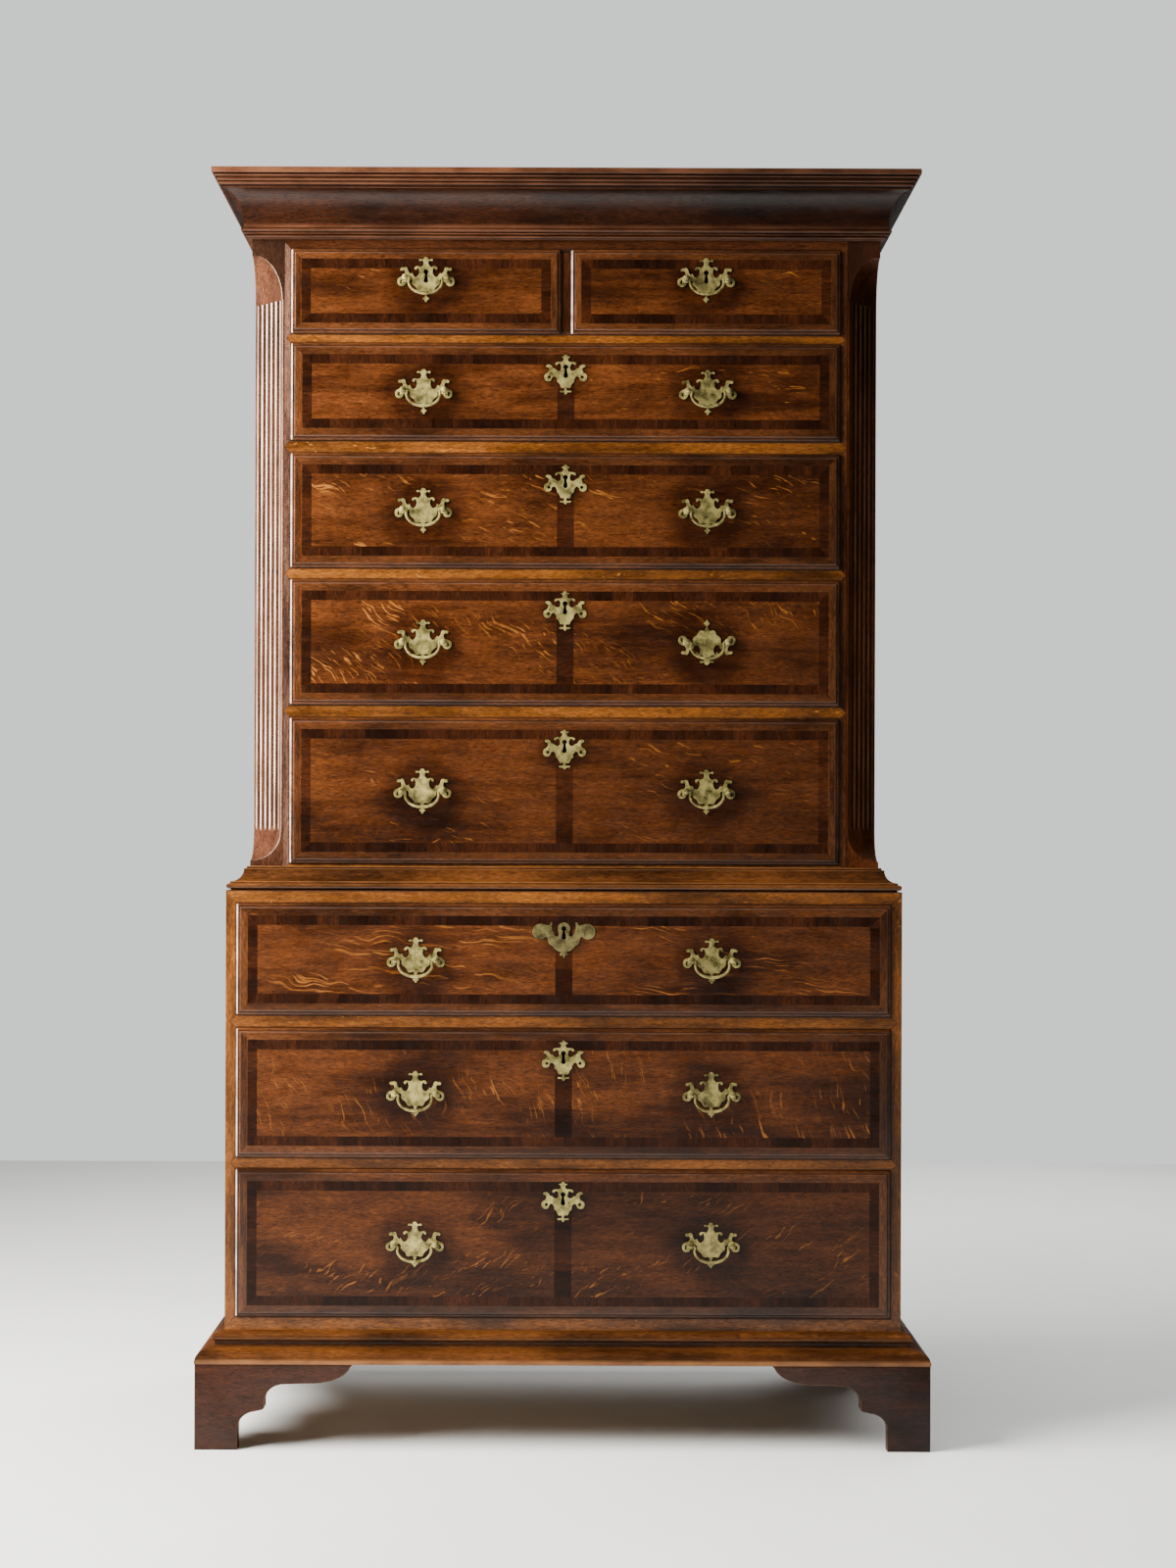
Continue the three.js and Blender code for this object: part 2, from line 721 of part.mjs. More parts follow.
// Feet: two bracket wings that meet at the corner, with a block in the angle. The wing across the back is
// a plain sloped one.
function footBody(xSide, ySide) {
  const outerX = xSide * (lowerWidth / 2 + baseProjection - footInset);
  const outerY = ySide < 0 ? lowerFront - baseProjection + footInset : backY;
  const top = footHeight - seat;
  const edge = bracketShares.map(([along, up]) => [along * footLength, up * top]);
  const shaped = [[0, 0], ...edge, [0, top]];
  const plain = [[0, 0], [footBlock, 0], [rearBracketLength, top], [0, top]];
  const across = (ySide < 0 ? shaped : plain).map(([along, z]) => [outerX - xSide * along, z]);
  const alongSide = shaped.map(([along, z]) => [outerY - ySide * along, z]);
  const span = (outer, side, depth) => [outer, outer - side * depth].sort((a, b) => a - b);
  const [blockX, blockY] = [span(outerX, xSide, footBlock), span(outerY, ySide, footBlock)];
  return join([
    plate(across, ...span(outerY, ySide, footThickness)),
    sidePlate(alongSide, ...span(outerX, xSide, footThickness)),
    block(...blockX, ...blockY, 0, top),
  ]);
}

// Materials, with the colours of the aged original

function finish(colour, roughness, metalness) {
  return new THREE.MeshStandardMaterial({ color: colour, roughness, metalness });
}

const redOak = finish(0x7a3c1a, 0.45, 0);
const goldenOak = finish(0xa5642c, 0.45, 0);
const caseOak = finish(0x6e3a1c, 0.55, 0);
const brass = finish(0xa89a58, 0.38, 1);
const iron = finish(0x4c4a46, 0.55, 1);

const chest = new THREE.Group();

function add(name, body, material) {
  const mesh = new THREE.Mesh(toGeometry(body), material);
  mesh.name = name;
  chest.add(mesh);
}

// The drawers of both cases, with their handles' places

const standardEscutcheon = { shares: escutcheonHalfShares, width: escutcheonWidth, height: escutcheonHeight };
const wideEscutcheon = {
  shares: wideEscutcheonHalfShares,
  width: wideEscutcheonWidth,
  height: wideEscutcheonHeight,
};

function longDrawers(rows, width, frameFace, offset) {
  return rows.map((row) => {
    const z = (row.low + row.high) / 2;
    return {
      name: row.name,
      x0: -width / 2,
      x1: width / 2,
      z0: row.low,
      z1: row.high,
      frameFace,
      boxEnd: backY - backThickness - drawerEndGap,
      handles: [[-offset, z], [offset, z]],
      keyZ: row.high - keyDrop,
      escutcheon: row.name === 'lower_top' ? wideEscutcheon : standardEscutcheon,
      rightPlateUpsideDown: row.name === 'upper_third',
    };
  });
}

function shortDrawers(row, frameFace) {
  return [-1, 1].map((side) => {
    const middle = (side * (dividerFace + shortWidth)) / 2;
    const z = (row.low + row.high) / 2 + shortHandleRise;
    return {
      name: side < 0 ? 'short_left' : 'short_right',
      x0: middle - shortWidth / 2,
      x1: middle + shortWidth / 2,
      z0: row.low,
      z1: row.high,
      frameFace,
      boxEnd: backY - backThickness - drawerEndGap,
      handles: [[middle, z]],
      rightPlateUpsideDown: false,
      keyZ: z + shortKeyRise,
      escutcheon: null,
    };
  });
}

const lowerDrawers = longDrawers(lowerRows, longWidthLower, lowerFront, longHandleOffsetLower);
const upperDrawers = [
  ...longDrawers(upperRows.slice(0, -1), longWidthUpper, upperFront, longHandleOffsetUpper),
  ...shortDrawers(upperRows[upperRows.length - 1], upperFront),
];

add('lower_case', lowerCase(), caseOak);
add('lower_face_frame', lowerFrame(lowerDrawers), goldenOak);
add('upper_case', upperCase(), caseOak);
add('upper_face_frame', upperFrame(upperDrawers), goldenOak);

const cornice = {
  halfWidth: upperWidth / 2,
  front: upperFront,
  low: corniceBottom,
  height: corniceHeight,
  projection: corniceProjection,
};
add('cornice', mitredMoulding(corniceSectionShares, cornice, seat), goldenOak);

const base = {
  halfWidth: lowerWidth / 2,
  front: lowerFront,
  low: footHeight,
  height: baseHeight,
  projection: baseProjection,
};
add('base_moulding', mitredMoulding(baseSectionShares, base, seat), goldenOak);

for (const [xSide, ySide, name] of [
  [-1, -1, 'foot_front_left'],
  [1, -1, 'foot_front_right'],
  [-1, 1, 'foot_back_left'],
  [1, 1, 'foot_back_right'],
]) {
  add(name, footBody(xSide, ySide), goldenOak);
}

for (const drawer of [...lowerDrawers, ...upperDrawers]) {
  add(`drawer_${drawer.name}`, drawerBody(drawer), redOak);
  add(`lock_bolt_${drawer.name}`, boltBody(drawer), iron);
  const keyed = drawer.escutcheon === null;
  drawer.handles.forEach(([x, z], i) => {
    const suffix = drawer.handles.length > 1 ? ['_left', '_right'][i] : '';
    const upsideDown = i > 0 && drawer.rightPlateUpsideDown;
    const plateBody = handlePlate(x, z, drawer.frameFace, keyed, upsideDown);
    add(`handle_plate_${drawer.name}${suffix}`, plateBody, brass);
    add(`bail_${drawer.name}${suffix}`, bailBody(x, z, drawer.frameFace), brass);
  });
}

export default chest;
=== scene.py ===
"""Looks of a George III style oak chest on chest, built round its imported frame.

Lengths are in millimetres, in the frame's own axes: the drawers face -Y. Meshes are turned into metres
where a piece is made. Materials and lights are in metres."""
import json
import math
import random
from collections import namedtuple

import bmesh
import bpy
from mathutils import Matrix, Vector


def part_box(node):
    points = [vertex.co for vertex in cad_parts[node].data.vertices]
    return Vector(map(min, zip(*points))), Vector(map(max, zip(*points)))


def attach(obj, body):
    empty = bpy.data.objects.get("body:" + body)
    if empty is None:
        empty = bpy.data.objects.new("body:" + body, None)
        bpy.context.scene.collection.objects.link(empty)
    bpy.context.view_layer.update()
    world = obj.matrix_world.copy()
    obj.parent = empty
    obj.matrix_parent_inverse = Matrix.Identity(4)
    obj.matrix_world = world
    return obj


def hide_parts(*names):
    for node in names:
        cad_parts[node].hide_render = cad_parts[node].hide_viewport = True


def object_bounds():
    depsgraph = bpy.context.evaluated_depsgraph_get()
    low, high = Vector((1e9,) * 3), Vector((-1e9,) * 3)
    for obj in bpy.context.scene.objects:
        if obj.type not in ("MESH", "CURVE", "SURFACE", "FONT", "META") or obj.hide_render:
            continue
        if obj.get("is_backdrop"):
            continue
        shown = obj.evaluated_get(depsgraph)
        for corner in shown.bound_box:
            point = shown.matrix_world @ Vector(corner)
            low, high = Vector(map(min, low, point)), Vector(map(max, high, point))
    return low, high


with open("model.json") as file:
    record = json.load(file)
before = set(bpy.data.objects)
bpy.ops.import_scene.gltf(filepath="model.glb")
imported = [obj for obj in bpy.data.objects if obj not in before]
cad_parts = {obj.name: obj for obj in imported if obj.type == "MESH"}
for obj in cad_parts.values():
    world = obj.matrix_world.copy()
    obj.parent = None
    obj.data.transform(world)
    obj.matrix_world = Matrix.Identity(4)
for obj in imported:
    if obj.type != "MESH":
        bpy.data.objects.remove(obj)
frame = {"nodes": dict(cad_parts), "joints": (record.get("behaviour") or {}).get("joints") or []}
cad_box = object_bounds()

MM = 0.001
SIDES = ((-1, "left"), (1, "right"))
rng = random.Random(7)


# Camera: level, at the photograph's height and distance

IMAGE_WIDTH, IMAGE_HEIGHT = 1200, 1600
FOCAL_PIXELS = 2500
SENSOR = 36
HORIZON = (573, 859)  # where lines running straight back meet, in pixels
CAMERA_PLACE = (-0.004, -3.80, 0.877)
CAMERA_ROLL = math.radians(0.2)


def link(name, data):
    """Puts a new object into the scene."""
    made = bpy.data.objects.new(name, data)
    bpy.context.scene.collection.objects.link(made)
    return made


def add_camera():
    data = bpy.data.cameras.new("camera")
    data.sensor_fit = "VERTICAL"
    data.sensor_height = SENSOR
    data.lens = SENSOR * FOCAL_PIXELS / IMAGE_HEIGHT
    data.shift_x = (IMAGE_WIDTH / 2 - HORIZON[0]) / IMAGE_HEIGHT
    data.shift_y = (HORIZON[1] - IMAGE_HEIGHT / 2) / IMAGE_HEIGHT
    camera = link("camera", data)
    camera.location = CAMERA_PLACE
    camera.rotation_euler = (math.pi / 2, -CAMERA_ROLL, 0)
    bpy.context.scene.camera = camera


# Places read from the frame


def mm_box(node):
    low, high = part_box(node)
    return [c / MM for c in low], [c / MM for c in high]


def handle_place(bail):
    """The middle of the line that a bail turns about."""
    joint = next(j for j in frame["joints"] if j["child"] == bail)
    return [c / MM for c in joint["pos_m"]]


(_, LOWER_FRONT, _), (LOWER_HALF, _, LOWER_TOP) = mm_box("lower_face_frame")
(_, UPPER_FRONT, _), (UPPER_HALF, _, _) = mm_box("upper_face_frame")
_, (_, BACK, WAIST_HIGH) = mm_box("lower_case")
(_, _, UPPER_BOTTOM), (_, _, TOP) = mm_box("upper_case")
(_, _, CORNICE_LOW), (CORNICE_REACH, _, _) = mm_box("cornice")
(_, _, BASE_LOW), (BASE_REACH, _, BASE_HIGH) = mm_box("base_moulding")
CORNICE_OUT = CORNICE_REACH - UPPER_HALF
BASE_OUT = BASE_REACH - LOWER_HALF

Case = namedtuple("Case", "name body half front")
LOWER = Case("lower", "lower_chest", LOWER_HALF, LOWER_FRONT)
UPPER = Case("upper", "upper_chest", UPPER_HALF, UPPER_FRONT)

# Sizes that the frame's source shares

LIP_OVERLAP = 4
LIP_PROUD = 6
LIP_GAP = 0.3
DRAWER_GAP = 1
DRAWER_SIT = 0.2
FRONT_DEPTH = 22
SIDE_BOARD = 11
BOTTOM_BOARD = 8
BOTTOM_RAISE = 5
DRAWER_RISE = 7
SIDE_THICKNESS = 20
BOARD = 18
BACK_BOARD = 10
RAIL_DEPTH = 66
STILE_DEPTH = 18
LOWER_STILE = 16
UPPER_STILE = 13
CANT = 45
DIVIDER_FACE = 15
SHORT_KEY_RISE = 10.5
DUST = 12
GUIDE_HEIGHT = 22
PLATE_THICKNESS = 1.8
POST_REACH = 13
POST_X = 30
KEY_DROP = 35
ESCUTCHEON_THICKNESS = 1.2

# Sizes of the looks alone

BOLT_RISE = 9.2  # how far above a bolt's top its mortise reaches
SEAM = 0.15  # half the fine joint that is left between two pieces of wood
LIP_COVER = LIP_OVERLAP + LIP_GAP
LOWER_OPENING = LOWER_HALF - LOWER_STILE - LIP_OVERLAP
UPPER_OPENING = UPPER_HALF - CANT - UPPER_STILE - LIP_OVERLAP


class Drawer:
    """Where a drawer is: the edges of its lips, its case, its flat face, its keyhole and its bolt."""

    def __init__(self, node):
        self.node = node
        self.name = node[len("drawer_"):]
        self.short = self.name.startswith("short")
        self.case = LOWER if self.name.startswith("lower") else UPPER
        (self.x0, _, self.z0), (self.x1, self.back, self.z1) = mm_box(node)
        self.middle = (self.x0 + self.x1) / 2
        self.face = self.case.front - LIP_GAP - LIP_PROUD
        self.key_z = self.z1 - KEY_DROP
        if self.short:
            self.key_z = handle_place("bail_" + self.name)[2] + SHORT_KEY_RISE
        self.bolt = mm_box("lock_bolt_" + self.name)


DRAWERS = [Drawer(node) for node in frame["nodes"] if node.startswith("drawer_")]


# Shader building


class Shader:
    """A material whose nodes are added one call at a time; each call gives the node's output."""

    def __init__(self, name):
        self.material = bpy.data.materials.new(name)
        self.material.use_nodes = True
        self.tree = self.material.node_tree
        self.surface = self.tree.nodes["Principled BSDF"]

    def put(self, socket, value):
        if isinstance(value, bpy.types.NodeSocket):
            self.tree.links.new(value, socket)
        elif isinstance(value, tuple) and len(value) == 3 and socket.type == "RGBA":
            socket.default_value = (*value, 1)
        else:
            socket.default_value = value

    def node(self, kind, inputs, output=0, **settings):
        made = self.tree.nodes.new("ShaderNode" + kind)
        for key, value in settings.items():
            setattr(made, key, value)
        for key, value in inputs.items():
            self.put(made.inputs[key], value)
        return made.outputs[output]

    def attribute(self, name, output):
        return self.node("Attribute", {}, output, attribute_name=name)

    def place(self):
        return self.node("TexCoord", {}, "Object")

    def math(self, operation, a, b=0.0):
        return self.node("Math", {0: a, 1: b}, operation=operation)

    def times(self, a, b):
        return self.math("MULTIPLY", a, b)

    def plus(self, a, b):
        return self.math("ADD", a, b)

    def vector(self, operation, a, b, output=0):
        return self.node("VectorMath", {0: a, 1: b}, output, operation=operation)

    def bend(self, vector, by, reach):
        """Shifts a vector by another one, stretched to a reach along each axis."""
        return self.vector("ADD", vector, self.vector("MULTIPLY", by, reach))

    def noise(self, vector, scale, detail=2.0, roughness=0.55, distortion=0.0):
        """A noise with a scale, in patches to the metre, along each axis."""
        inputs = {"Vector": self.vector("MULTIPLY", vector, scale), "Scale": 1.0, "Detail": detail}
        inputs.update({"Roughness": roughness, "Distortion": distortion})
        return self.node("TexNoise", inputs)

    def ramp(self, value, low, high, to_low=0.0, to_high=1.0):
        inputs = {"Value": value, "From Min": low, "From Max": high, "To Min": to_low, "To Max": to_high}
        return self.node("MapRange", inputs, interpolation_type="SMOOTHSTEP")

    def mix(self, factor, a, b, blend="MIX"):
        return self.node("MixRGB", {"Fac": factor, "Color1": a, "Color2": b}, blend_type=blend)

    def tint(self, colour, by):
        return self.mix(1.0, colour, by, "MULTIPLY")

    def fade(self, colour, left, right, share):
        """Takes a colour down to a share of it, or of each of its parts, from one X to another: painted
        shade, darker towards the right end.
        """
        if share == 1.0:
            return colour
        if not isinstance(share, tuple):
            share = (share, share, share)
        x = self.node("SeparateXYZ", {0: self.place()}, "X")
        return self.mix(self.ramp(x, left, right), colour, self.tint(colour, share))

    def finish(self, height, relief, distance, **inputs):
        """Sets the surface's inputs, and its bumps from a height."""
        bump = self.node("Bump", {"Height": height, "Strength": relief, "Distance": distance})
        for key, value in {**inputs, "Normal": bump}.items():
            self.put(self.surface.inputs[key.replace("_", " ")], value)
        return self.material


WORN = (0.5, 0.2, 0.06)
SOIL = (0.3, 0.24, 0.2)
DIRT_AND_SHADE = (0.01, 0.005, 0.003)
GLINT = (2.2, 2.2, 2.2)


def waxed_wood(
    name, dark, light, worn_and_highlight=WORN, flecks=None, gloss=0.34, shine=0.3, rub_and_highlight=0.4, relief=0.3, segments=0,
    grime_and_shadow_spots=(), fade=1.0,
):
    """Polished old oak or mahogany. flecks is (amount, angle, length, colour) of the silvery rays that a
    quarter-sawn board shows; worn_and_highlight is the colour that rubbing bares, and on the lips and posts a
    pale painted highlight, and rub_and_highlight how far it goes; segments is how long each piece of a
    cross-grained band is; grime_and_shadow_spots are the places, each with its reach, round which the wood is
    darkened by handling grime and painted shadow of the brass; fade is what is left of the colour at the
    right end, painted shade away from the light at the left."""
    s = Shader(name)
    grain = s.attribute("grain", "Vector")
    wear = s.attribute("wear", "Fac")
    bent = s.bend(grain, s.noise(grain, (3, 14, 14), 2.0), (0.02, 0.02, 0.02))
    cloud = s.noise(bent, (4, 11, 11), 5.0, 0.6)
    rings = s.noise(bent, (9, 95, 95), 3.0, 0.6)
    fibre = s.noise(bent, (95, 400, 400), 2.0, 0.7)
    dashes = s.noise(bent, (130, 640, 640), 1.0)
    tone = s.plus(s.times(cloud, 0.7), s.times(rings, 0.3))
    colour = s.mix(s.ramp(tone, 0.34, 0.66), dark, light)
    colour = s.tint(colour, s.ramp(fibre, 0.3, 0.7, 0.7, 1.3))
    if flecks:
        amount, angle, length, fleck_colour = flecks
        curl = s.node("TexNoise", {"Vector": grain, "Scale": 22.0, "Detail": 1.0}, "Color")
        curled = s.bend(bent, curl, (0.03, 0.03, 0.0))
        turned = s.node("VectorRotate", {"Vector": curled, "Angle": angle}, rotation_type="Z_AXIS")
        ray = s.noise(turned, (1 / (length * MM), 260, 20), 1.5, 0.5, 0.8)
        place = s.ramp(s.noise(grain, (6, 13, 13), 2.0), 0.45, 0.65)
        edge = 0.72 - 0.13 * amount
        seen = s.times(s.ramp(ray, edge, edge + 0.05), place)
        colour = s.mix(s.times(seen, 0.75), colour, fleck_colour)
    if segments:
        along = s.node("SeparateXYZ", {0: grain}, "Y")
        cell = s.math("FLOOR", s.times(along, 1 / (segments * MM)))
        each = s.node("TexWhiteNoise", {"W": cell}, noise_dimensions="1D")
        colour = s.tint(colour, s.ramp(each, 0.0, 1.0, 0.72, 1.4))
    pores = s.ramp(dashes, 0.58, 0.7)
    colour = s.mix(s.times(pores, 0.7), colour, s.tint(colour, SOIL))
    glints = s.ramp(dashes, 0.42, 0.3, 0.0, 0.35)
    colour = s.mix(glints, colour, s.tint(colour, GLINT))
    grime = s.ramp(s.noise(grain, (14, 18, 18), 4.0, 0.7), 0.5, 0.78, 0.0, 0.5)
    colour = s.mix(grime, colour, s.tint(colour, SOIL))
    # darker round the brass: handling grime, and painted shadow of the handles and escutcheons
    for spot, reach in grime_and_shadow_spots:
        away = s.vector("DISTANCE", s.place(), spot, "Value")
        away = s.plus(away, s.times(s.noise(grain, (25, 25, 25), 3.0), 0.03))
        colour = s.mix(s.ramp(away, reach * 0.55, reach, 0.8, 0.0), colour, s.tint(colour, SOIL))
    # paler where wear is above 0: arrises bared by rubbing, and painted highlight on the left lips and post
    # ridges
    patchy = s.ramp(s.noise(grain, (16, 40, 40), 3.0), 0.3, 0.7, 0.35, 1.0)
    rubbing_and_painted_light = s.times(s.ramp(wear, 0.1, 1.0), patchy)
    colour = s.mix(s.times(rubbing_and_painted_light, rub_and_highlight), colour, worn_and_highlight)
    # painted shade: darker towards the right end, away from the light at the left
    colour = s.fade(colour, -0.35, 0.45, fade)
    # darker where wear is below 0: painted shade along and under lips, in hollows, flutes and keyholes, and
    # dark joints
    dirt_and_painted_shade = s.ramp(s.times(wear, -1.0), 0.05, 1.0)
    colour = s.mix(s.times(dirt_and_painted_shade, 0.85), colour, DIRT_AND_SHADE)
    height = s.math("SUBTRACT", s.times(fibre, 0.5), pores)
    height = s.plus(height, s.times(s.noise(grain, (7, 16, 16), 1.0), 5.0))
    rough = s.ramp(s.noise(grain, (30, 60, 60), 3.0), 0.3, 0.7, gloss - 0.05, gloss + 0.12)
    rough = s.plus(rough, s.times(dirt_and_painted_shade, 0.4))
    return s.finish(height, relief, 0.0005, Base_Color=colour, Roughness=rough, Specular_IOR_Level=shine)


def raw_wood(name, dark, light):
    """Unpolished boards inside and behind."""
    s = Shader(name)
    grain = s.attribute("grain", "Vector")
    cloud = s.noise(grain, (1.8, 12, 12), 4.0, 0.6)
    rings = s.noise(grain, (2.5, 120, 120), 3.0, 0.65)
    fibre = s.noise(grain, (25, 700, 700), 2.0, 0.7)
    tone = s.plus(s.times(cloud, 0.5), s.times(rings, 0.5))
    colour = s.mix(s.ramp(tone, 0.34, 0.66), dark, light)
    colour = s.tint(colour, s.ramp(fibre, 0.25, 0.75, 0.8, 1.15))
    stain = s.ramp(s.noise(grain, (5, 9, 9), 5.0, 0.65), 0.5, 0.75, 0.0, 0.55)
    colour = s.mix(stain, colour, s.tint(colour, (0.45, 0.4, 0.36)))
    height = s.plus(fibre, s.times(rings, 2.0))
    return s.finish(height, 0.4, 0.0005, Base_Color=colour, Roughness=0.72)


def old_metal(name, dark, light, metallic, rough, spot, fade=1.0):
    """Metal with a mottled patina; fade is what is left of the colour at the right end, painted shade away
    from the light at the left.
    """
    s = Shader(name)
    place = s.place()
    cloud = s.noise(place, (70, 70, 70), 4.0, 0.65)
    fine = s.noise(place, (420, 420, 420), 3.0, 0.6)
    colour = s.mix(s.ramp(cloud, 0.32, 0.68), dark, light)
    colour = s.mix(s.ramp(fine, 0.55, 0.75, 0.0, 0.7), colour, spot)
    colour = s.fade(colour, -0.25, 0.25, fade)
    roughness = s.ramp(cloud, 0.3, 0.7, rough - 0.08, rough + 0.14)
    return s.finish(fine, 0.25, 0.0004, Base_Color=colour, Metallic=metallic, Roughness=roughness)


def lighter(colour, share):
    return tuple(c * share for c in colour)


RAY = (0.36, 0.125, 0.022)
RAIL_RAY = (0.42, 0.16, 0.03)
OAK = ((0.026, 0.0066, 0.0015), (0.122, 0.0345, 0.0082))
FRONTS = {  # how light the wood is; its flecks: amount, angle in degrees, length in millimetres; its fade, painted shade at the right end
    "short_left": (0.68, 0.2, 8, 40, 0.9),
    "short_right": (0.66, 0.2, 8, 40, 1.0),
    "upper_first": (0.92, 0.3, 5, 30, 0.8),
    "upper_second": (0.8, 0.6, 20, 30, 0.6),
    "upper_third": (0.98, 0.9, 38, 30, 0.45),
    "upper_bottom": (0.66, 0.6, 14, 38, 0.6),
    "lower_top": (0.84, 1.0, 7, 75, 0.65),
    "lower_middle": (0.76, 0.85, 70, 45, 0.75),
    "lower_bottom": (0.62, 0.7, -38, 30, 0.65),
}


def drawer_oak(name, grime_and_shadow_spots):
    share, amount, angle, length, fade = FRONTS[name]
    flecks = (amount, math.radians(angle), length, lighter(RAY, share))
    dark, light = (lighter(colour, share) for colour in OAK)
    return waxed_wood("oak_" + name, dark, light, flecks=flecks, shine=0.2, grime_and_shadow_spots=grime_and_shadow_spots, fade=fade)


BORDER_COLOURS = ((0.018, 0.005, 0.0012), (0.085, 0.026, 0.0068))
# The fade of each wood below is painted shade: darker towards the right, away from the light at the left.
BORDER_OAK = waxed_wood("border_oak", *BORDER_COLOURS, relief=0.1, fade=0.7)
# Its pale bared colour is a painted highlight on the outer edge of the left lips.
LIP_OAK = waxed_wood("lip_oak", *BORDER_COLOURS, (0.85, 0.66, 0.54), rub_and_highlight=0.85, relief=0.1, fade=0.7)
BAND = waxed_wood(
    "mahogany_band", (0.0075, 0.0022, 0.0009), (0.026, 0.007, 0.0021), shine=0.15, relief=0.1, segments=30,
)
RAIL_OAK = waxed_wood(
    "rail_oak", (0.04, 0.012, 0.0018), (0.215, 0.069, 0.0115), flecks=(0.4, 0.0, 9, RAIL_RAY), fade=0.65,
)
TOP_OAK = waxed_wood("top_oak", (0.012, 0.0034, 0.0011), (0.05, 0.0145, 0.0044), shine=0.2)
MOULDING_OAK = waxed_wood("moulding_oak", (0.017, 0.005, 0.001), (0.086, 0.0268, 0.0056), fade=0.85)
CORNICE_OAK = waxed_wood(
    "cornice_oak", (0.0058, 0.0018, 0.0008), (0.032, 0.0092, 0.0032), (0.28, 0.105, 0.048), rub_and_highlight=0.42,
    fade=0.45,
)
# Its pale bared colour is partly rubbing and partly a painted highlight on the ridges; its fade tuple is
# painted shade at the right.
POST_OAK = waxed_wood(
    "post_oak", (0.0245, 0.009, 0.0048), (0.091, 0.034, 0.0165), (0.8, 0.58, 0.46), shine=0.04, rub_and_highlight=0.9,
    relief=0.15, fade=(0.714, 0.526, 0.333),
)
STILE_OAK = waxed_wood(
    "stile_oak", (0.027, 0.0117, 0.0078), (0.135, 0.0637, 0.04), shine=0.2, fade=(0.556, 0.385, 0.192),
)
FOOT_OAK = waxed_wood(
    "foot_oak", (0.0105, 0.003, 0.0012), (0.043, 0.0125, 0.0046), shine=0.2, gloss=0.4, fade=0.6,
)
SIDE_OAK = waxed_wood("side_oak", *(lighter(c, 0.78) for c in OAK), flecks=(0.6, 0.2, 40, RAY))
INNER = raw_wood("inner_oak", (0.12, 0.07, 0.032), (0.32, 0.21, 0.11))
BACKING = raw_wood("back_oak", (0.05, 0.029, 0.015), (0.16, 0.1, 0.052))
# The brass's last number is its fade: painted shade towards the right end.
BRASS = old_metal("old_brass", (0.12, 0.1, 0.03), (0.58, 0.48, 0.16), 0.5, 0.34, (0.06, 0.05, 0.02), 0.64)
DULL_BRASS = old_metal(
    "dull_brass", (0.06, 0.048, 0.018), (0.22, 0.18, 0.065), 0.5, 0.36, (0.04, 0.03, 0.012),
)
IRON = old_metal("old_iron", (0.05, 0.045, 0.04), (0.16, 0.15, 0.14), 1.0, 0.5, (0.09, 0.035, 0.015))


# Piece making. A piece's wood is (body, material slot, material, grain axes)

AXES = {"x": Vector((1, 0, 0)), "y": Vector((0, 1, 0)), "z": Vector((0, 0, 1))}


def make(name, mesh, body, slot, material):
    mesh.materials.append(material)
    made = link(name, mesh)
    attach(made, body)
    return made


def new_mesh(name, points, faces):
    mesh = bpy.data.meshes.new(name)
    mesh.from_pydata([[c * MM for c in p] for p in points], [], faces)
    mesh.update()
    return mesh


def shape_mesh(name, shape):
    """A mesh of a bmesh, which it frees."""
    mesh = bpy.data.meshes.new(name)
    shape.to_mesh(mesh)
    shape.free()
    return mesh


def face_out(mesh):
    """Turns a closed mesh's faces outwards."""
    shape = bmesh.new()
    shape.from_mesh(mesh)
    bmesh.ops.recalc_face_normals(shape, faces=shape.faces[:])
    shape.to_mesh(mesh)
    shape.free()


def bevel(shape, edges, width):
    bmesh.ops.bevel(shape, geom=edges, offset=width, segments=2, profile=0.5, affect="EDGES")


def write_grain(mesh, direction_of, wear_and_painted_light_of=None):
    """Gives every corner its place in its board, in metres: along, across and through the grain.

    direction_of(polygon) names the axes, such as "xzy"; wear_and_painted_light_of(polygon, vertex) is above 0
    at edges bared by rubbing and at painted highlights, and below 0 at dark joints and painted shade."""
    offset = [rng.uniform(-9, 9) for _ in AXES]
    places = [0.0] * (3 * len(mesh.loops))
    rubbing_and_painted_light = [0.0] * len(mesh.loops)
    for polygon in mesh.polygons:
        axes = [AXES[letter] for letter in direction_of(polygon)]
        for loop in polygon.loop_indices:
            vertex = mesh.loops[loop].vertex_index
            place = mesh.vertices[vertex].co
            places[3 * loop:3 * loop + 3] = [axis.dot(place) + o for axis, o in zip(axes, offset)]
            if wear_and_painted_light_of:
                rubbing_and_painted_light[loop] = wear_and_painted_light_of(polygon, vertex)
    mesh.attributes.new("grain", "FLOAT_VECTOR", "CORNER").data.foreach_set("vector", places)
    mesh.attributes.new("wear", "FLOAT", "CORNER").data.foreach_set("value", rubbing_and_painted_light)


def shade(mesh, angle):
    mesh.shade_smooth()
    mesh.set_sharp_from_angle(angle=math.radians(angle))


def wood_piece(mesh, wood, wear_and_painted_light_of, angle):
    body, slot, material, axes = wood
    write_grain(mesh, lambda polygon: axes, wear_and_painted_light_of)
    shade(mesh, angle)
    return make(mesh.name, mesh, body, slot, material)


def small_faces(limit, wear):
    """Wears the faces that are smaller than a limit, which are a board's arrises."""
    return lambda polygon, vertex: wear if polygon.area < limit else 0.0


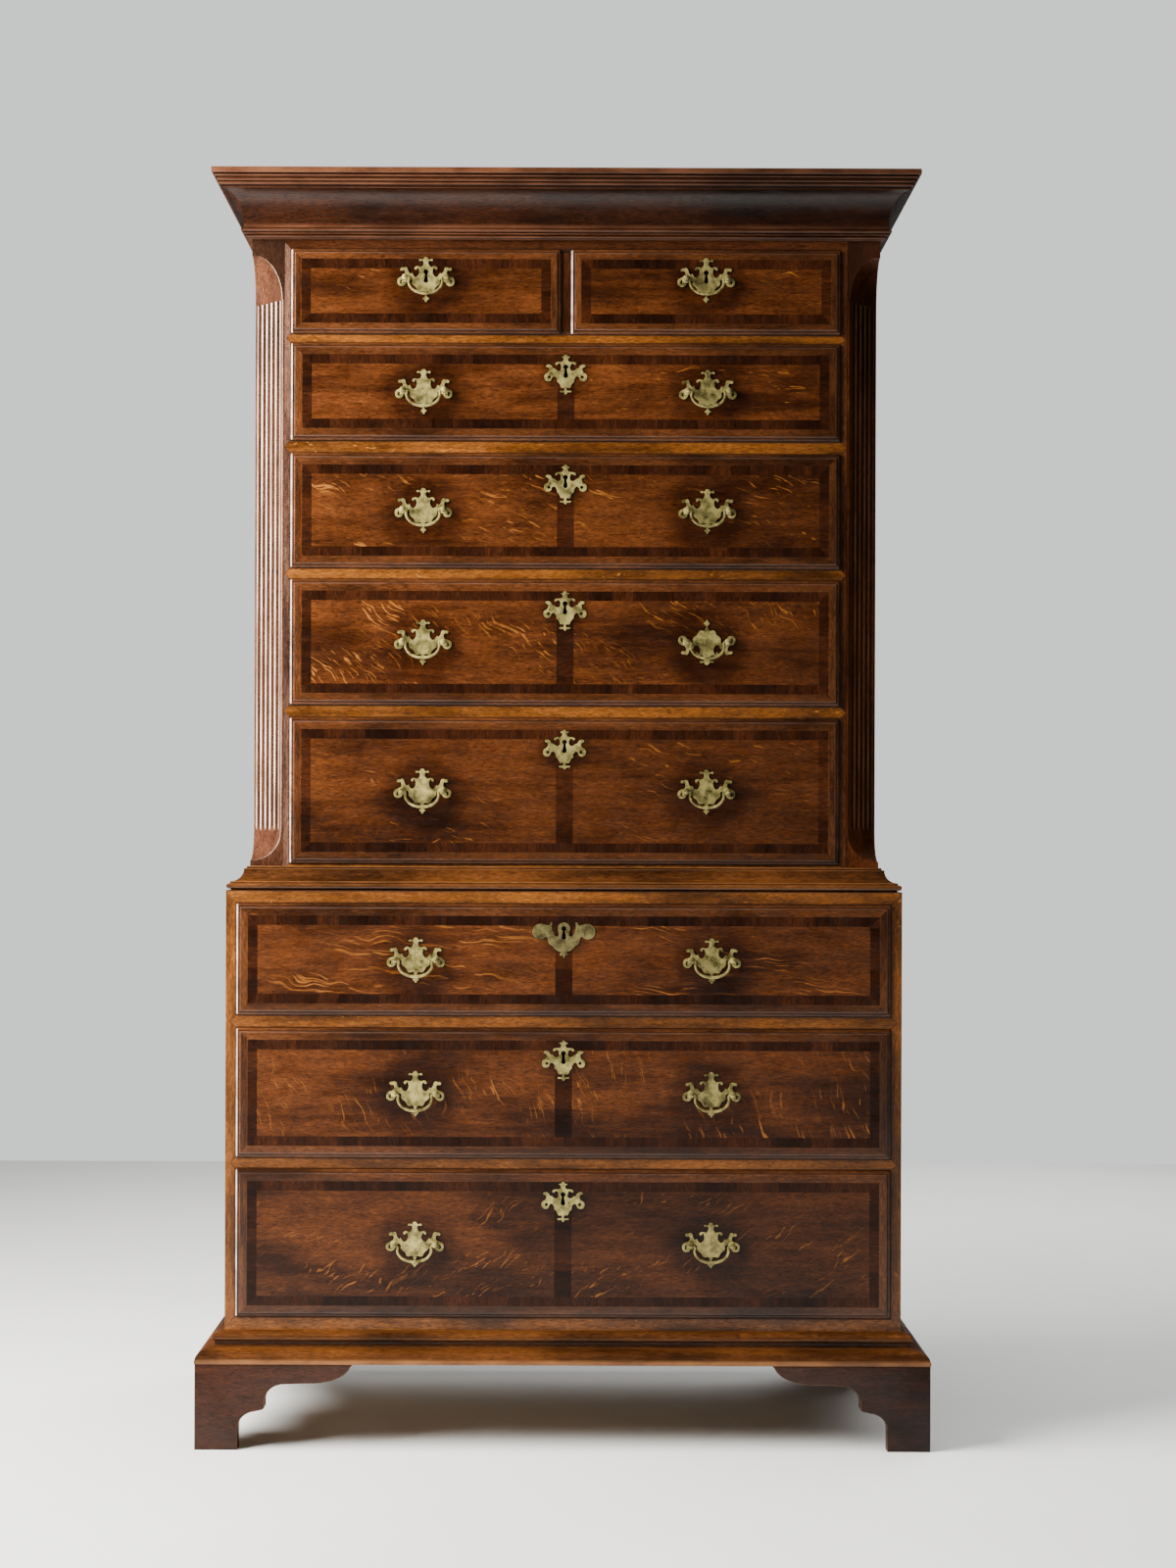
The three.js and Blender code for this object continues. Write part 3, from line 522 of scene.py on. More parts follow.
def board(name, xs, ys, zs, wood, edge=0.7):
    """A sawn board with its arrises taken off, from its (low, high) along each axis."""
    shape = bmesh.new()
    bmesh.ops.create_cube(shape, size=1)
    size = [(b - a) * MM for a, b in (xs, ys, zs)]
    middle = [(a + b) / 2 * MM for a, b in (xs, ys, zs)]
    matrix = Matrix.LocRotScale(Vector(middle), None, Vector(size))
    bmesh.ops.transform(shape, matrix=matrix, verts=shape.verts)
    width = min(edge * MM, min(size) / 3)
    bevel(shape, shape.edges[:], width)
    return wood_piece(shape_mesh(name, shape), wood, small_faces((3 * width) * max(size), 0.7), 50)


def outline_board(name, outline, to_place, depth, wood, edge=0.8):
    """A board cut to an outline of (across, up); to_place(across, deep, up) puts a point in the frame."""
    shape = bmesh.new()
    rings = []
    for deep in (0, depth):
        rings.append([shape.verts.new([c * MM for c in to_place(a, deep, u)]) for a, u in outline])
    count = len(outline)
    shape.faces.new(rings[0])
    shape.faces.new(list(reversed(rings[1])))
    for i in range(count):
        j = (i + 1) % count
        shape.faces.new((rings[0][j], rings[0][i], rings[1][i], rings[1][j]))
    bmesh.ops.recalc_face_normals(shape, faces=shape.faces[:])
    bevel(shape, [e for e in shape.edges if (e.verts[0] in rings[0]) == (e.verts[1] in rings[0])], edge * MM)
    return wood_piece(shape_mesh(name, shape), wood, small_faces(edge * MM * 30 * MM, 0.8), 32)


def arc(centre, radii, start, end, steps):
    """Points of an elliptic arc from one angle to the other, in degrees."""
    points = []
    for i in range(steps + 1):
        angle = math.radians(start + (end - start) * i / steps)
        points.append((centre[0] + radii[0] * math.cos(angle), centre[1] + radii[1] * math.sin(angle)))
    return points


def ring_faces(rings, count):
    """Faces between rings of points that are numbered one ring after the other."""
    faces = []
    for r in range(rings - 1):
        for i in range(count):
            j = (i + 1) % count
            faces.append([r * count + i, r * count + j, (r + 1) * count + j, (r + 1) * count + i])
    return faces


def loft_mesh(name, rings, paired=False):
    """A closed mesh through rings of equally many points. Its ends are flat, or where the rings' points are
    paired front and back, a strip from pair to pair."""
    count = len(rings[0])
    last = (len(rings) - 1) * count
    faces = []
    if paired:
        for i in range(count // 2 - 1):
            strip = [i, i + 1, count - 2 - i, count - 1 - i]
            faces += [strip[::-1], [last + k for k in strip]]
    else:
        faces += [list(range(count))[::-1], [last + i for i in range(count)]]
    mesh = new_mesh(name, [p for ring in rings for p in ring], faces + ring_faces(len(rings), count))
    face_out(mesh)
    return mesh


def lofted(name, rings, wear_and_painted_light_values, wood, paired=False):
    """A piece through rings of points, with each point's wear value."""
    mesh = loft_mesh(name, rings, paired)
    flat = [value for ring in wear_and_painted_light_values for value in ring]
    wear_and_painted_light_of = lambda polygon, vertex: flat[vertex] if len(polygon.vertices) == 4 else 0.0
    return wood_piece(mesh, wood, wear_and_painted_light_of, 28)


# Mouldings


def section_wear_and_painted_light(section):
    """How far each point of a moulding's section is bared by rubbing (above 0) or darkened with painted shade
    in its hollows (below 0), from how sharply the line turns there."""
    values = []
    count = len(section)
    for i, point in enumerate(section):
        before = Vector(point) - Vector(section[i - 1])
        after = Vector(section[(i + 1) % count]) - Vector(point)
        if before.length < 1e-6 or after.length < 1e-6:
            values.append(0.0)
            continue
        values.append(max(-1.0, min(1.0, before.angle_signed(after, 0) / math.radians(-45))))
    return values


def moulding(prefix, section, case, low, body, material):
    """Runs a section of (out, up) along the front and both sides, in three pieces that meet in mitres."""
    wear = section_wear_and_painted_light(section)
    # Each mitre is dark all round, a dark joint, keeping the painted shade of the hollows.
    joint_and_painted_shadow = [min(value, -0.5) for value in wear]
    joint = 1.2
    # A station is (way out in X, way out in Y, Y, distance from the mitre)
    left, right = ([(sign, -1, case.front, 0), (sign, -1, case.front, joint)] for sign in (-1, 1))
    runs = {
        "left": ([(-1, 0, BACK, 0), *left[::-1]], "yzx"),
        "front": (left + right[::-1], "xzy"),
        "right": ([*right, (1, 0, BACK, 0)], "yzx"),
    }
    made = []
    for side, (stations, axes) in runs.items():
        rings, wear_and_painted_light_values = [], []
        for out_x, out_y, y, off in stations:
            off_x, off_y = (off, 0) if side == "front" else (0, off)
            ring = []
            for out, up in section:
                reach = out - SEAM
                x = out_x * (case.half + reach - off_x)
                ring.append((x, y + out_y * reach + off_y, low + up))
            rings.append(ring)
            wear_and_painted_light_values.append(joint_and_painted_shadow if y == case.front and not off else wear)
        made.append(lofted(f"{prefix}_{side}", rings, wear_and_painted_light_values, (body, "golden_oak", material, axes)))
    return made


def cornice_section():
    height = TOP - CORNICE_LOW
    wall, rim = 11.4, 39.6
    cove_low, cove_high = 24, 66
    arris = 0.9
    return [
        (SEAM, 0), (5.5, 0.2), (6.2, 1),
        *arc((6.2, 3), (2.6, 2), -80, 90, 6),
        (8.6, 5.2),
        *arc((9.2, 6.6), (3.4, 1.3), -90, 90, 5),
        (9.8, 8.2),
        *arc((10.6, 11.2), (4.6, 2.9), -80, 90, 8),
        (wall - 0.6, 14.6), (wall, 15.4), (wall, cove_low),
        *arc((rim, cove_low), (rim - wall, cove_high - cove_low), 178, 92, 20),
        (rim, cove_high), (rim, 69.2), (41.6, 69.4),
        *arc((42.4, 71.6), (2.4, 2.1), -80, 90, 6),
        (43.6, 74.2),
        *arc((44.6, 76.4), (2.3, 2.0), -80, 90, 6),
        (46, 79), (46, 79.8),
        *arc((47.0, 81.6), (3.2, 1.7), -80, 80, 6),
        (46.6, 83.6), (46.8, 84.6), (50.4, 84.6),
        (CORNICE_OUT - arris, 84.8), (CORNICE_OUT, 85.6), (CORNICE_OUT, height - arris),
        (CORNICE_OUT - arris, height), (SEAM, height),
    ]


def waist_section():
    high = WAIST_HIGH - LOWER_TOP - LIP_GAP
    out = LOWER_HALF - UPPER_HALF
    return [
        (SEAM, 0), (out - 6, 0), (out - 6, 1.8),
        *arc((out - 3.8, 5.8), (3.6, 3.9), -90, 90, 12),
        (out - 5.2, 9.9), (out - 5.2, 12), (out - 5.6, 12.4),
        *arc((out - 6, 31), (17.0, 18.2), -90, -176, 12),
        (8, 31.4), (5, 31.4), (4.4, 32), (4.4, high - 0.5), (3.9, high), (SEAM, high),
    ]


def base_section():
    out, high = BASE_OUT, BASE_HIGH - BASE_LOW
    return [
        (SEAM, 0), (out - 0.5, 0), (out, 0.5), (out, 5.2), (out - 0.5, 5.8), (out - 1.2, 5.9),
        *arc((out - 22.6, 6.2), (21.6, 14.2), 0, 82, 12),
        (out - 22.4, 20.6),
        *arc((out - 21.6, 26.2), (5.4, 5.4), -94, -266, 10),
        (out - 23.4, 31.8), (out - 23.4, 33.6),
        *arc((1.5, 33.6), (out - 25.6, high - 33.9), 0, 86, 12),
        (1.6, high - 0.2), (1.2, high), (SEAM, high),
    ]


def add_mouldings():
    cornice = moulding("cornice", cornice_section(), UPPER, CORNICE_LOW, "upper_chest", CORNICE_OAK)
    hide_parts("cornice")
    moulding("waist", waist_section(), UPPER, LOWER_TOP + LIP_GAP, "lower_chest", MOULDING_OAK)
    base = moulding("base", base_section(), LOWER, BASE_LOW, "lower_chest", MOULDING_OAK)
    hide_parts("base_moulding")


# Feet

BRACKET_LENGTH = 228
BRACKET_THICKNESS = 22
BRACE_TOP = 150
GLUE_BLOCK = 52
BLOCK_LOW = 0.4


def bracket_outline(height):
    """The bracket's outline from the outer corner: leg, quarter hollow, cusp, larger hollow and end curve."""
    shares = [
        (0, 0), (0.272, 0), (0.272, 0.25),
        *arc((0.39, 0.25), (0.118, 0.2), 180, 96, 8),
        (0.41, 0.463),
        *arc((0.41, 0.505), (0.032, 0.042), -80, 0, 4),
        (0.442, 0.56),
        *arc((0.562, 0.56), (0.12, 0.208), 176, 96, 10),
        (0.6, 0.772), (0.74, 0.78),
        *arc((0.74, 1.02), (0.25, 0.24), -84, -12, 9),
        (1, 1), (0, 1),
    ]
    return [(across * BRACKET_LENGTH, up * height) for across, up in shares]


def add_foot(name, sign, at_front):
    low, high = mm_box(name)
    outer_x = low[0] if sign < 0 else high[0]
    outer_y, inward = (low[1], 1) if at_front else (high[1], -1)
    top = high[2]
    shown = ("lower_chest", "golden_oak", FOOT_OAK)
    hidden = ("lower_chest", "golden_oak", BACKING)
    outline = bracket_outline(top)
    on_side = lambda a, d, u: (outer_x - sign * d, outer_y + inward * max(a, SEAM), u)
    side = outline_board(name + "_side", outline, on_side, BRACKET_THICKNESS, (*shown, "yzx"))
    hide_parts(name)
    if at_front:
        on_face = lambda a, d, u: (outer_x - sign * max(a, SEAM), outer_y + d, u)
        outline_board(name + "_face", outline, on_face, BRACKET_THICKNESS, (*shown, "xzy"))
    else:
        plain = [(BRACKET_THICKNESS, 0), (GLUE_BLOCK, 0), (BRACE_TOP, top), (BRACKET_THICKNESS, top)]
        on_back = lambda a, d, u: (outer_x - sign * a, outer_y - d, u)
        outline_board(name + "_brace", plain, on_back, BRACKET_THICKNESS, (*hidden, "xzy"))
    xs = sorted(outer_x - sign * reach for reach in (BRACKET_THICKNESS, GLUE_BLOCK))
    ys = sorted(outer_y + inward * reach for reach in (BRACKET_THICKNESS, GLUE_BLOCK))
    board(name + "_block", xs, ys, (BLOCK_LOW, top), (*hidden, "zxy"))


def add_feet():
    for end in ("front", "back"):
        for sign, side in SIDES:
            add_foot(f"foot_{end}_{side}", sign, end == "front")


# Face frames

LIP_SHADOW = -0.9  # painted shadow on wood beside and under a lip
LIP_SHADOW_END, LIP_SHADOW_GONE = 0.6, 2.4  # how far beyond a lip the painted shadow lies, and where it has gone


def rail(case, name, low, high, half, ends, limit, material):
    """A rail with painted shadow along the lips that lie over it and a plain part behind. Its ends come to
    points, or at the top and bottom of a case they slope up or down as far as a limit."""
    arris = 0.4
    joint = 0.8
    if ends == "point":
        reach = lambda z: (high - low) / 2 - abs(z - (low + high) / 2)
        bend = (low + high) / 2
    elif ends == "up":
        reach = lambda z: min(z - low, limit)
        bend = low + limit
    else:
        reach = lambda z: min(high - z, limit)
        bend = high - limit
    # The rail's face from its lower edge up, as (z, depth, wear), and then its back from the top down
    line = [(low, arris, LIP_SHADOW), (low + arris, 0, LIP_SHADOW)]
    if ends != "down":
        line += [(low + LIP_COVER + LIP_SHADOW_END, 0, LIP_SHADOW), (low + LIP_COVER + LIP_SHADOW_GONE, 0, -0.1)]
    line.append((bend, 0, 0))
    if ends != "up":
        line += [(high - LIP_COVER - LIP_SHADOW_GONE, 0, -0.1), (high - LIP_COVER - LIP_SHADOW_END, 0, LIP_SHADOW)]
    line += [(high - arris, 0, LIP_SHADOW), (high, arris, LIP_SHADOW)]
    line += [(z, STILE_DEPTH, wear) for z, y, wear in reversed(line)]
    rings, wear_and_painted_light_values = [], []
    for sign, inward in ((-1, 0), (-1, joint), (1, joint), (1, 0)):
        rings.append([(sign * (half + max(reach(z), 0) - inward), case.front + y, z) for z, y, wear in line])
        wear_and_painted_light_values.append([wear if inward else -0.5 for z, y, wear in line])
    lofted(name, rings, wear_and_painted_light_values, (case.body, "golden_oak", material, "xzy"), paired=True)
    ys = (case.front + STILE_DEPTH, case.front + RAIL_DEPTH)
    board(name + "_back", (-half, half), ys, (low, high), (case.body, "golden_oak", INNER, "xzy"))


def stile(case, side, sign, inner, outer, rails, material):
    """A stile with a notch for each rail's point and painted shadow along the lips."""
    width = outer - inner
    arris = 0.4
    step = 0.1
    levels = []
    for i, (low, high) in enumerate(rails):
        begin = [(low + LIP_COVER - step, 0), (low + LIP_COVER, LIP_COVER)]
        middle = [((low + high) / 2, (high - low) / 2)]
        end = [(high - LIP_COVER, LIP_COVER), (high - LIP_COVER + step, 0)]
        if i == 0:
            begin, middle = [(low, width)], [(high - width, width)]
        if i == len(rails) - 1:
            middle, end = [(low + width, width)], [(high, width)]
        levels += begin + middle + end
    rings, wear_and_painted_light_values = [], []
    for z, notch in levels:
        start = inner + min(notch, width - 1) + (arris if notch else 0)
        share = 1 - 0.8 * min(notch / width, 1)
        # dark where a rail's point meets the stile, and painted shadow along the lips elsewhere
        hidden, joint_and_painted_shadow = (0.2, -0.3) if notch else (LIP_OVERLAP, LIP_SHADOW)
        near = [(0, STILE_DEPTH, LIP_SHADOW), (0, arris, LIP_SHADOW), (0.3, 0, joint_and_painted_shadow)]
        near += [(hidden + 0.9, 0, joint_and_painted_shadow), (hidden + 2.8, 0, 0)]
        far = [(width - 0.5, 0, 0.2), (width, arris, 0.3), (width, STILE_DEPTH, 0)]
        line = [(start + across * share, deep, wear) for across, deep, wear in near]
        line += [(inner + across, deep, wear) for across, deep, wear in far]
        limits = [outer - 0.04 * left for left in range(len(line), 0, -1)]
        rings.append([(sign * min(x, limit), case.front + y, z) for (x, y, _), limit in zip(line, limits)])
        wear_and_painted_light_values.append([wear for x, y, wear in line])
    return lofted(f"{case.name}_stile_{side}", rings, wear_and_painted_light_values, (case.body, "golden_oak", material, "zxy"))


def rows_of(case):
    """The drawers of one case from the bottom up, as (low, high) of their lips."""
    return sorted({(round(d.z0, 3), round(d.z1, 3)) for d in DRAWERS if d.case == case})


def add_rails(case, low, high, half, width, top_material):
    """Adds the rails of one case and gives their (low, high) from the bottom up. The lowest one's ends slope
    down, the highest one's up, and the others come to points."""
    edges = [low, *(c for row in rows_of(case) for c in (row[0] + LIP_OVERLAP, row[1] - LIP_OVERLAP)), high]
    rails = [(edges[i], edges[i + 1]) for i in range(0, len(edges), 2)]
    last = len(rails) - 1
    for i, span in enumerate(rails):
        ends, material = ("point" if i else "down"), RAIL_OAK
        if i == last:
            ends, material = "up", top_material
        rail(case, f"{case.name}_rail_{i + 1}", *span, half, ends, width, material)
    for drawer in DRAWERS:
        if drawer.case == case:
            cut_mortise(drawer, rails)
    return rails


def cut_mortise(drawer, rails):
    """Cuts a mortise for a drawer's bolt up into the rail above the drawer."""
    low, high = drawer.bolt
    above = min(i for i, span in enumerate(rails) if span[0] > high[2])
    target = bpy.data.objects[f"{drawer.case.name}_rail_{above + 1}"]
    outline = oblong(low[0] - 1, high[0] + 1, high[2] - 1, high[2] + BOLT_RISE)
    cut_prism(target, outline, low[1] - 1, high[1] + 1)
    shade(target.data, 28)


def add_lower_frame():
    width = LOWER_HALF - LOWER_OPENING
    rails = add_rails(LOWER, BASE_LOW, LOWER_TOP, LOWER_OPENING, width, RAIL_OAK)
    for sign, side in SIDES:
        made = stile(LOWER, side, sign, LOWER_OPENING, LOWER_HALF, rails, RAIL_OAK)
    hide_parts("lower_face_frame")


# Canted corner posts

FLUTES = 5
FLUTE_WIDTH = 8
FLUTE_DEPTH = 2.4
FLUTE_MARGIN = 5
FLUTE_EDGE = 1.5  # how far before the first flute's pitch a margin's flat ends
FLUTE_POINTS = 9
FIRST_FLUTE = 3  # how many points of a line across the cant come before its flutes
POST_ARRIS = 0.9
FLUTE_END = 4
FLUTE_END_STEPS = 5
STOP_STEPS = 12
LOW_STOP = WAIST_HIGH + 8
LOW_STOP_LENGTH = 42
HIGH_STOP = CORNICE_LOW - 23
HIGH_STOP_LENGTH = 65
LOW_FLUTE = LOW_STOP + LOW_STOP_LENGTH + 10
HIGH_FLUTE = HIGH_STOP - HIGH_STOP_LENGTH - 2
UPPER_STILE_WIDTH = 14


def flute_line(cant_width, share):
    """Points across the cant, as (distance, depth), with the flutes cut to a share of their full depth."""
    pitch = (cant_width - 2 * FLUTE_MARGIN) / FLUTES
    points = [(0, 0), (POST_ARRIS, 0), (FLUTE_MARGIN - FLUTE_EDGE, 0)]
    for f in range(FLUTES):
        middle = FLUTE_MARGIN + (f + 0.5) * pitch
        for step in range(FLUTE_POINTS):
            across = 2 * step / (FLUTE_POINTS - 1) - 1
            depth = FLUTE_DEPTH * math.sqrt(max(0.0, 1 - across * across))
            points.append((middle + across * FLUTE_WIDTH / 2, depth * share))
    return points + [(cant_width - FLUTE_MARGIN + FLUTE_EDGE, 0), (cant_width, 0)]


def post_levels(low, high):
    """Heights along a post, as (z, share of the cant, share of the flutes' depth)."""
    up, down = [], []
    for i in range(1, STOP_STEPS + 1):
        t = (i / STOP_STEPS) ** 1.6
        share = math.sqrt(1 - (1 - t) ** 2) * 0.985
        up.append((LOW_STOP + t * LOW_STOP_LENGTH, share, 0))
        down.append((HIGH_STOP - t * HIGH_STOP_LENGTH, share, 0))
    ends = [i / FLUTE_END_STEPS for i in range(FLUTE_END_STEPS + 1)]
    return [
        (low, 0, 0), (LOW_STOP - 0.1, 0, 0), *up, (LOW_STOP + LOW_STOP_LENGTH + 0.3, 1, 0),
        *((LOW_FLUTE + FLUTE_END * t, 1, math.sqrt(1 - (1 - t) ** 2)) for t in ends),
        *((HIGH_FLUTE - FLUTE_END * (1 - t), 1, math.sqrt(1 - t ** 2)) for t in ends),
        (HIGH_STOP - HIGH_STOP_LENGTH - 0.3, 1, 0), *down[::-1], (HIGH_STOP + 0.1, 0, 0), (high, 0, 0),
    ]


def add_post(side, sign, inner, low, high, ridge_wear_and_highlight, arris):
    """A corner post; ridge_wear_and_highlight and arris are how pale its ridges between flutes and its front
    arris are made, partly by rubbing and partly as painted highlight.
    """
    root = math.sqrt(2)
    full = CANT * root
    rings = []
    for z, share, flute in post_levels(low, high):
        cant = max(CANT * share, 0.25)
        ring = [(inner, UPPER_FRONT), (UPPER_HALF - cant - POST_ARRIS, UPPER_FRONT)]
        for across, deep in flute_line(full, flute):
            place = across / full * (cant * root) / root
            sunk = deep / root
            ring.append((UPPER_HALF - cant + place - sunk, UPPER_FRONT + place + sunk))
        ring += [(UPPER_HALF, UPPER_FRONT + RAIL_DEPTH), (inner, UPPER_FRONT + RAIL_DEPTH)]
        rings.append([(sign * x, y, z) for x, y in ring])
    mesh = loft_mesh(f"corner_post_{side}", rings)
    count = len(rings[0])

    # Painted shade just under the cornice and in the flutes' hollows; the ridges and front arris are paler,
    # partly by rubbing and partly painted highlight.
    def wear_and_painted_light_of(polygon, vertex):
        index = vertex % count - 2  # its place in the line across the cant
        z = mesh.vertices[vertex].co.z / MM
        if z > HIGH_STOP - 0.5 or (z > HIGH_FLUTE and index < 0):
            return -0.75
        if index == 0 and LOW_STOP < z:
            return arris
        if not LOW_FLUTE - 1 < z < HIGH_FLUTE + 1 or not 0 <= index - FIRST_FLUTE < FLUTE_POINTS * FLUTES:
            return 0.0
        step = (index - FIRST_FLUTE) % FLUTE_POINTS
        return ridge_wear_and_highlight if step in (0, FLUTE_POINTS - 1) else -0.7 if 2 <= step <= 6 else -0.45

    return wood_piece(mesh, ("upper_chest", "golden_oak", POST_OAK, "zxy"), wear_and_painted_light_of, 24)


def add_divider():
    short = rows_of(UPPER)[-1]
    half = DIVIDER_FACE / 2 + LIP_OVERLAP
    line = [(-half, LIP_SHADOW), (LIP_COVER + LIP_SHADOW_END - half, LIP_SHADOW), (LIP_COVER + LIP_SHADOW_GONE - half, 0)]
    line += [(-x, wear) for x, wear in reversed(line)]
    rings = []
    for z in (short[0] + LIP_COVER, short[1] - LIP_COVER):
        back = [(x, UPPER_FRONT + RAIL_DEPTH, z) for x in (half, -half)]
        rings.append([(x, UPPER_FRONT, z) for x, wear in line] + back)
    wear_and_painted_light_values = [[wear for x, wear in line] + [0, 0]] * 2
    lofted("upper_divider", rings, wear_and_painted_light_values, ("upper_chest", "golden_oak", TOP_OAK, "zxy"))


def add_upper_frame():
    low, high = UPPER_BOTTOM, TOP - BOARD - DRAWER_SIT
    rails = add_rails(UPPER, low, high, UPPER_OPENING, UPPER_STILE_WIDTH, TOP_OAK)
    outer = UPPER_OPENING + UPPER_STILE_WIDTH
    # The left post's ridges and arris are paler than the right's: painted highlight on the side towards the
    # light.
    for (sign, side), wear_and_painted_light_values in zip(SIDES, ((1.0, 1.0), (0.35, 0.2))):
        stile(UPPER, side, sign, UPPER_OPENING, outer, rails, STILE_OAK)
        post = add_post(side, sign, outer + SEAM, low, high, *wear_and_painted_light_values)
        if side == "left":
            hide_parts("upper_face_frame")
    add_divider()


# Case boards


def split(low, high, count):
    """Even spans with a fine joint between them."""
    width = (high - low) / count
    return [(low + i * width + SEAM, low + (i + 1) * width - SEAM) for i in range(count)]


def add_case(case, side_front, low, high, back_high, node):
    inside = case.half - SIDE_THICKNESS
    side_wood, back_wood, dust_wood = (
        (case.body, "case_oak", material, axes)
        for material, axes in ((SIDE_OAK, "zyx"), (BACKING, "zxy"), (INNER, "xyz"))
    )
    for sign, side in SIDES:
        xs = sorted((sign * inside, sign * case.half))
        for i, ys in enumerate(split(side_front, BACK, 2)):
            made = board(f"{case.name}_side_{side}_{i + 1}", xs, ys, (low, high), side_wood, 0.5)
    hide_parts(node)
    ys = (BACK - BACK_BOARD, BACK - 0.4)
    for i, (x0, x1) in enumerate(split(-inside, inside, 5)):
        board(f"{case.name}_back_{i + 1}", (x0 + 0.3, x1 - 0.3), ys, (low + 1, back_high), back_wood, 1.2)
    ys = (case.front + RAIL_DEPTH + DRAWER_SIT, BACK - BACK_BOARD)
    for i, row in enumerate(rows_of(case)):
        top = row[0] + LIP_OVERLAP
        board(f"{case.name}_dust_board_{i + 1}", (-inside, inside), ys, (top - DUST, top), dust_wood)


def add_cases():
    shelf = LOWER_TOP - BOARD
    add_case(LOWER, LOWER_FRONT + STILE_DEPTH, BASE_LOW, LOWER_TOP, shelf, "lower_case")
    inside = LOWER_HALF - SIDE_THICKNESS
    wood = ("lower_chest", "case_oak", INNER, "xyz")
    ys = (LOWER_FRONT + RAIL_DEPTH, BACK - 1)
    board("lower_top_board", (-inside, inside), ys, (shelf, LOWER_TOP), wood)
    roof = TOP - BOARD
    add_case(UPPER, UPPER_FRONT + RAIL_DEPTH, UPPER_BOTTOM, roof, roof - SEAM, "upper_case")
    wood = ("upper_chest", "case_oak", BACKING, "xyz")
    for i, ys in enumerate(split(UPPER_FRONT, BACK, 3)):
        board(f"upper_top_board_{i + 1}", (-UPPER_HALF, UPPER_HALF), ys, (roof, TOP), wood, 0.5)
    wood = ("upper_chest", "case_oak", INNER, "yzx")
    ys = (UPPER_FRONT + RAIL_DEPTH + 1, BACK - BACK_BOARD)
    for i, row in enumerate(rows_of(UPPER)):
        low = row[0] + LIP_OVERLAP
        for sign, side in SIDES:
            xs = sorted((sign * UPPER_OPENING, sign * (UPPER_HALF - SIDE_THICKNESS)))
            board(f"guide_{side}_{i + 1}", xs, ys, (low, low + GUIDE_HEIGHT), wood)


# Drawers

BORDER = 17
SHORT_BORDER = 15
BAND_WIDTH = 14
CENTRE_BAND = 25
LIP_CORNER = 2.6
KEY_RADIUS = 3.5
KEY_LENGTH = 12.6
KEY_DEPTH = 14
CORNER_STEPS = 2
BOLT_PLAY = 0.4
HANDLE_GRIME_SHADOW, KEY_GRIME_SHADOW = 0.092, 0.062  # how far from brass the wood is darkened by handling grime and painted shadow
KEY_WALL_SHADE, UNDER_LIP_SHADE, LIT_LIP, QUIRK_SHADE = -1.0, -0.9, 0.95, -0.95  # painted shade (below 0) and the left lips' painted highlight (LIT_LIP) of a front's parts, as wear values
FRONT_KINDS = ("field", "edge", "border_across", "border_up", "line", "band_across", "band_up")


def oblong(x0, x1, z0, z1):
    return [(x0, z0), (x1, z0), (x1, z1), (x0, z1)]


def rounded(drawer, inset, radius):
    """Points round a drawer's lips, anticlockwise from the bottom left, three at each corner."""
    r = max(radius - inset, 0.5)
    box = oblong(drawer.x0 + inset, drawer.x1 - inset, drawer.z0 + inset, drawer.z1 - inset)
    points = []
    for (x, z), across, up, start in zip(box, (r, -r, -r, r), (r, r, -r, -r), (180, 270, 0, 90)):
        points += arc((x + across, z + up), (r, r), start, start + 90, CORNER_STEPS)
    return points


def lip_profile():
    """The thumb moulding round a drawer: (inset, proud) from the back to the flat face."""
    points = [(0, 0), (0, 1.0)]
    points += [(3.6 - c, 1.0 + s) for c, s in arc((0, 0), (3.6, 3.2), 0, 86, 7)][1:]
    points += [(4.2, 4.15), (4.5, 4.1), (4.8, 4.2)]
    return points + [(7.2 - c, 4.3 + s) for c, s in arc((0, 0), (2.3, LIP_PROUD - 4.3), 0, 90, 6)]


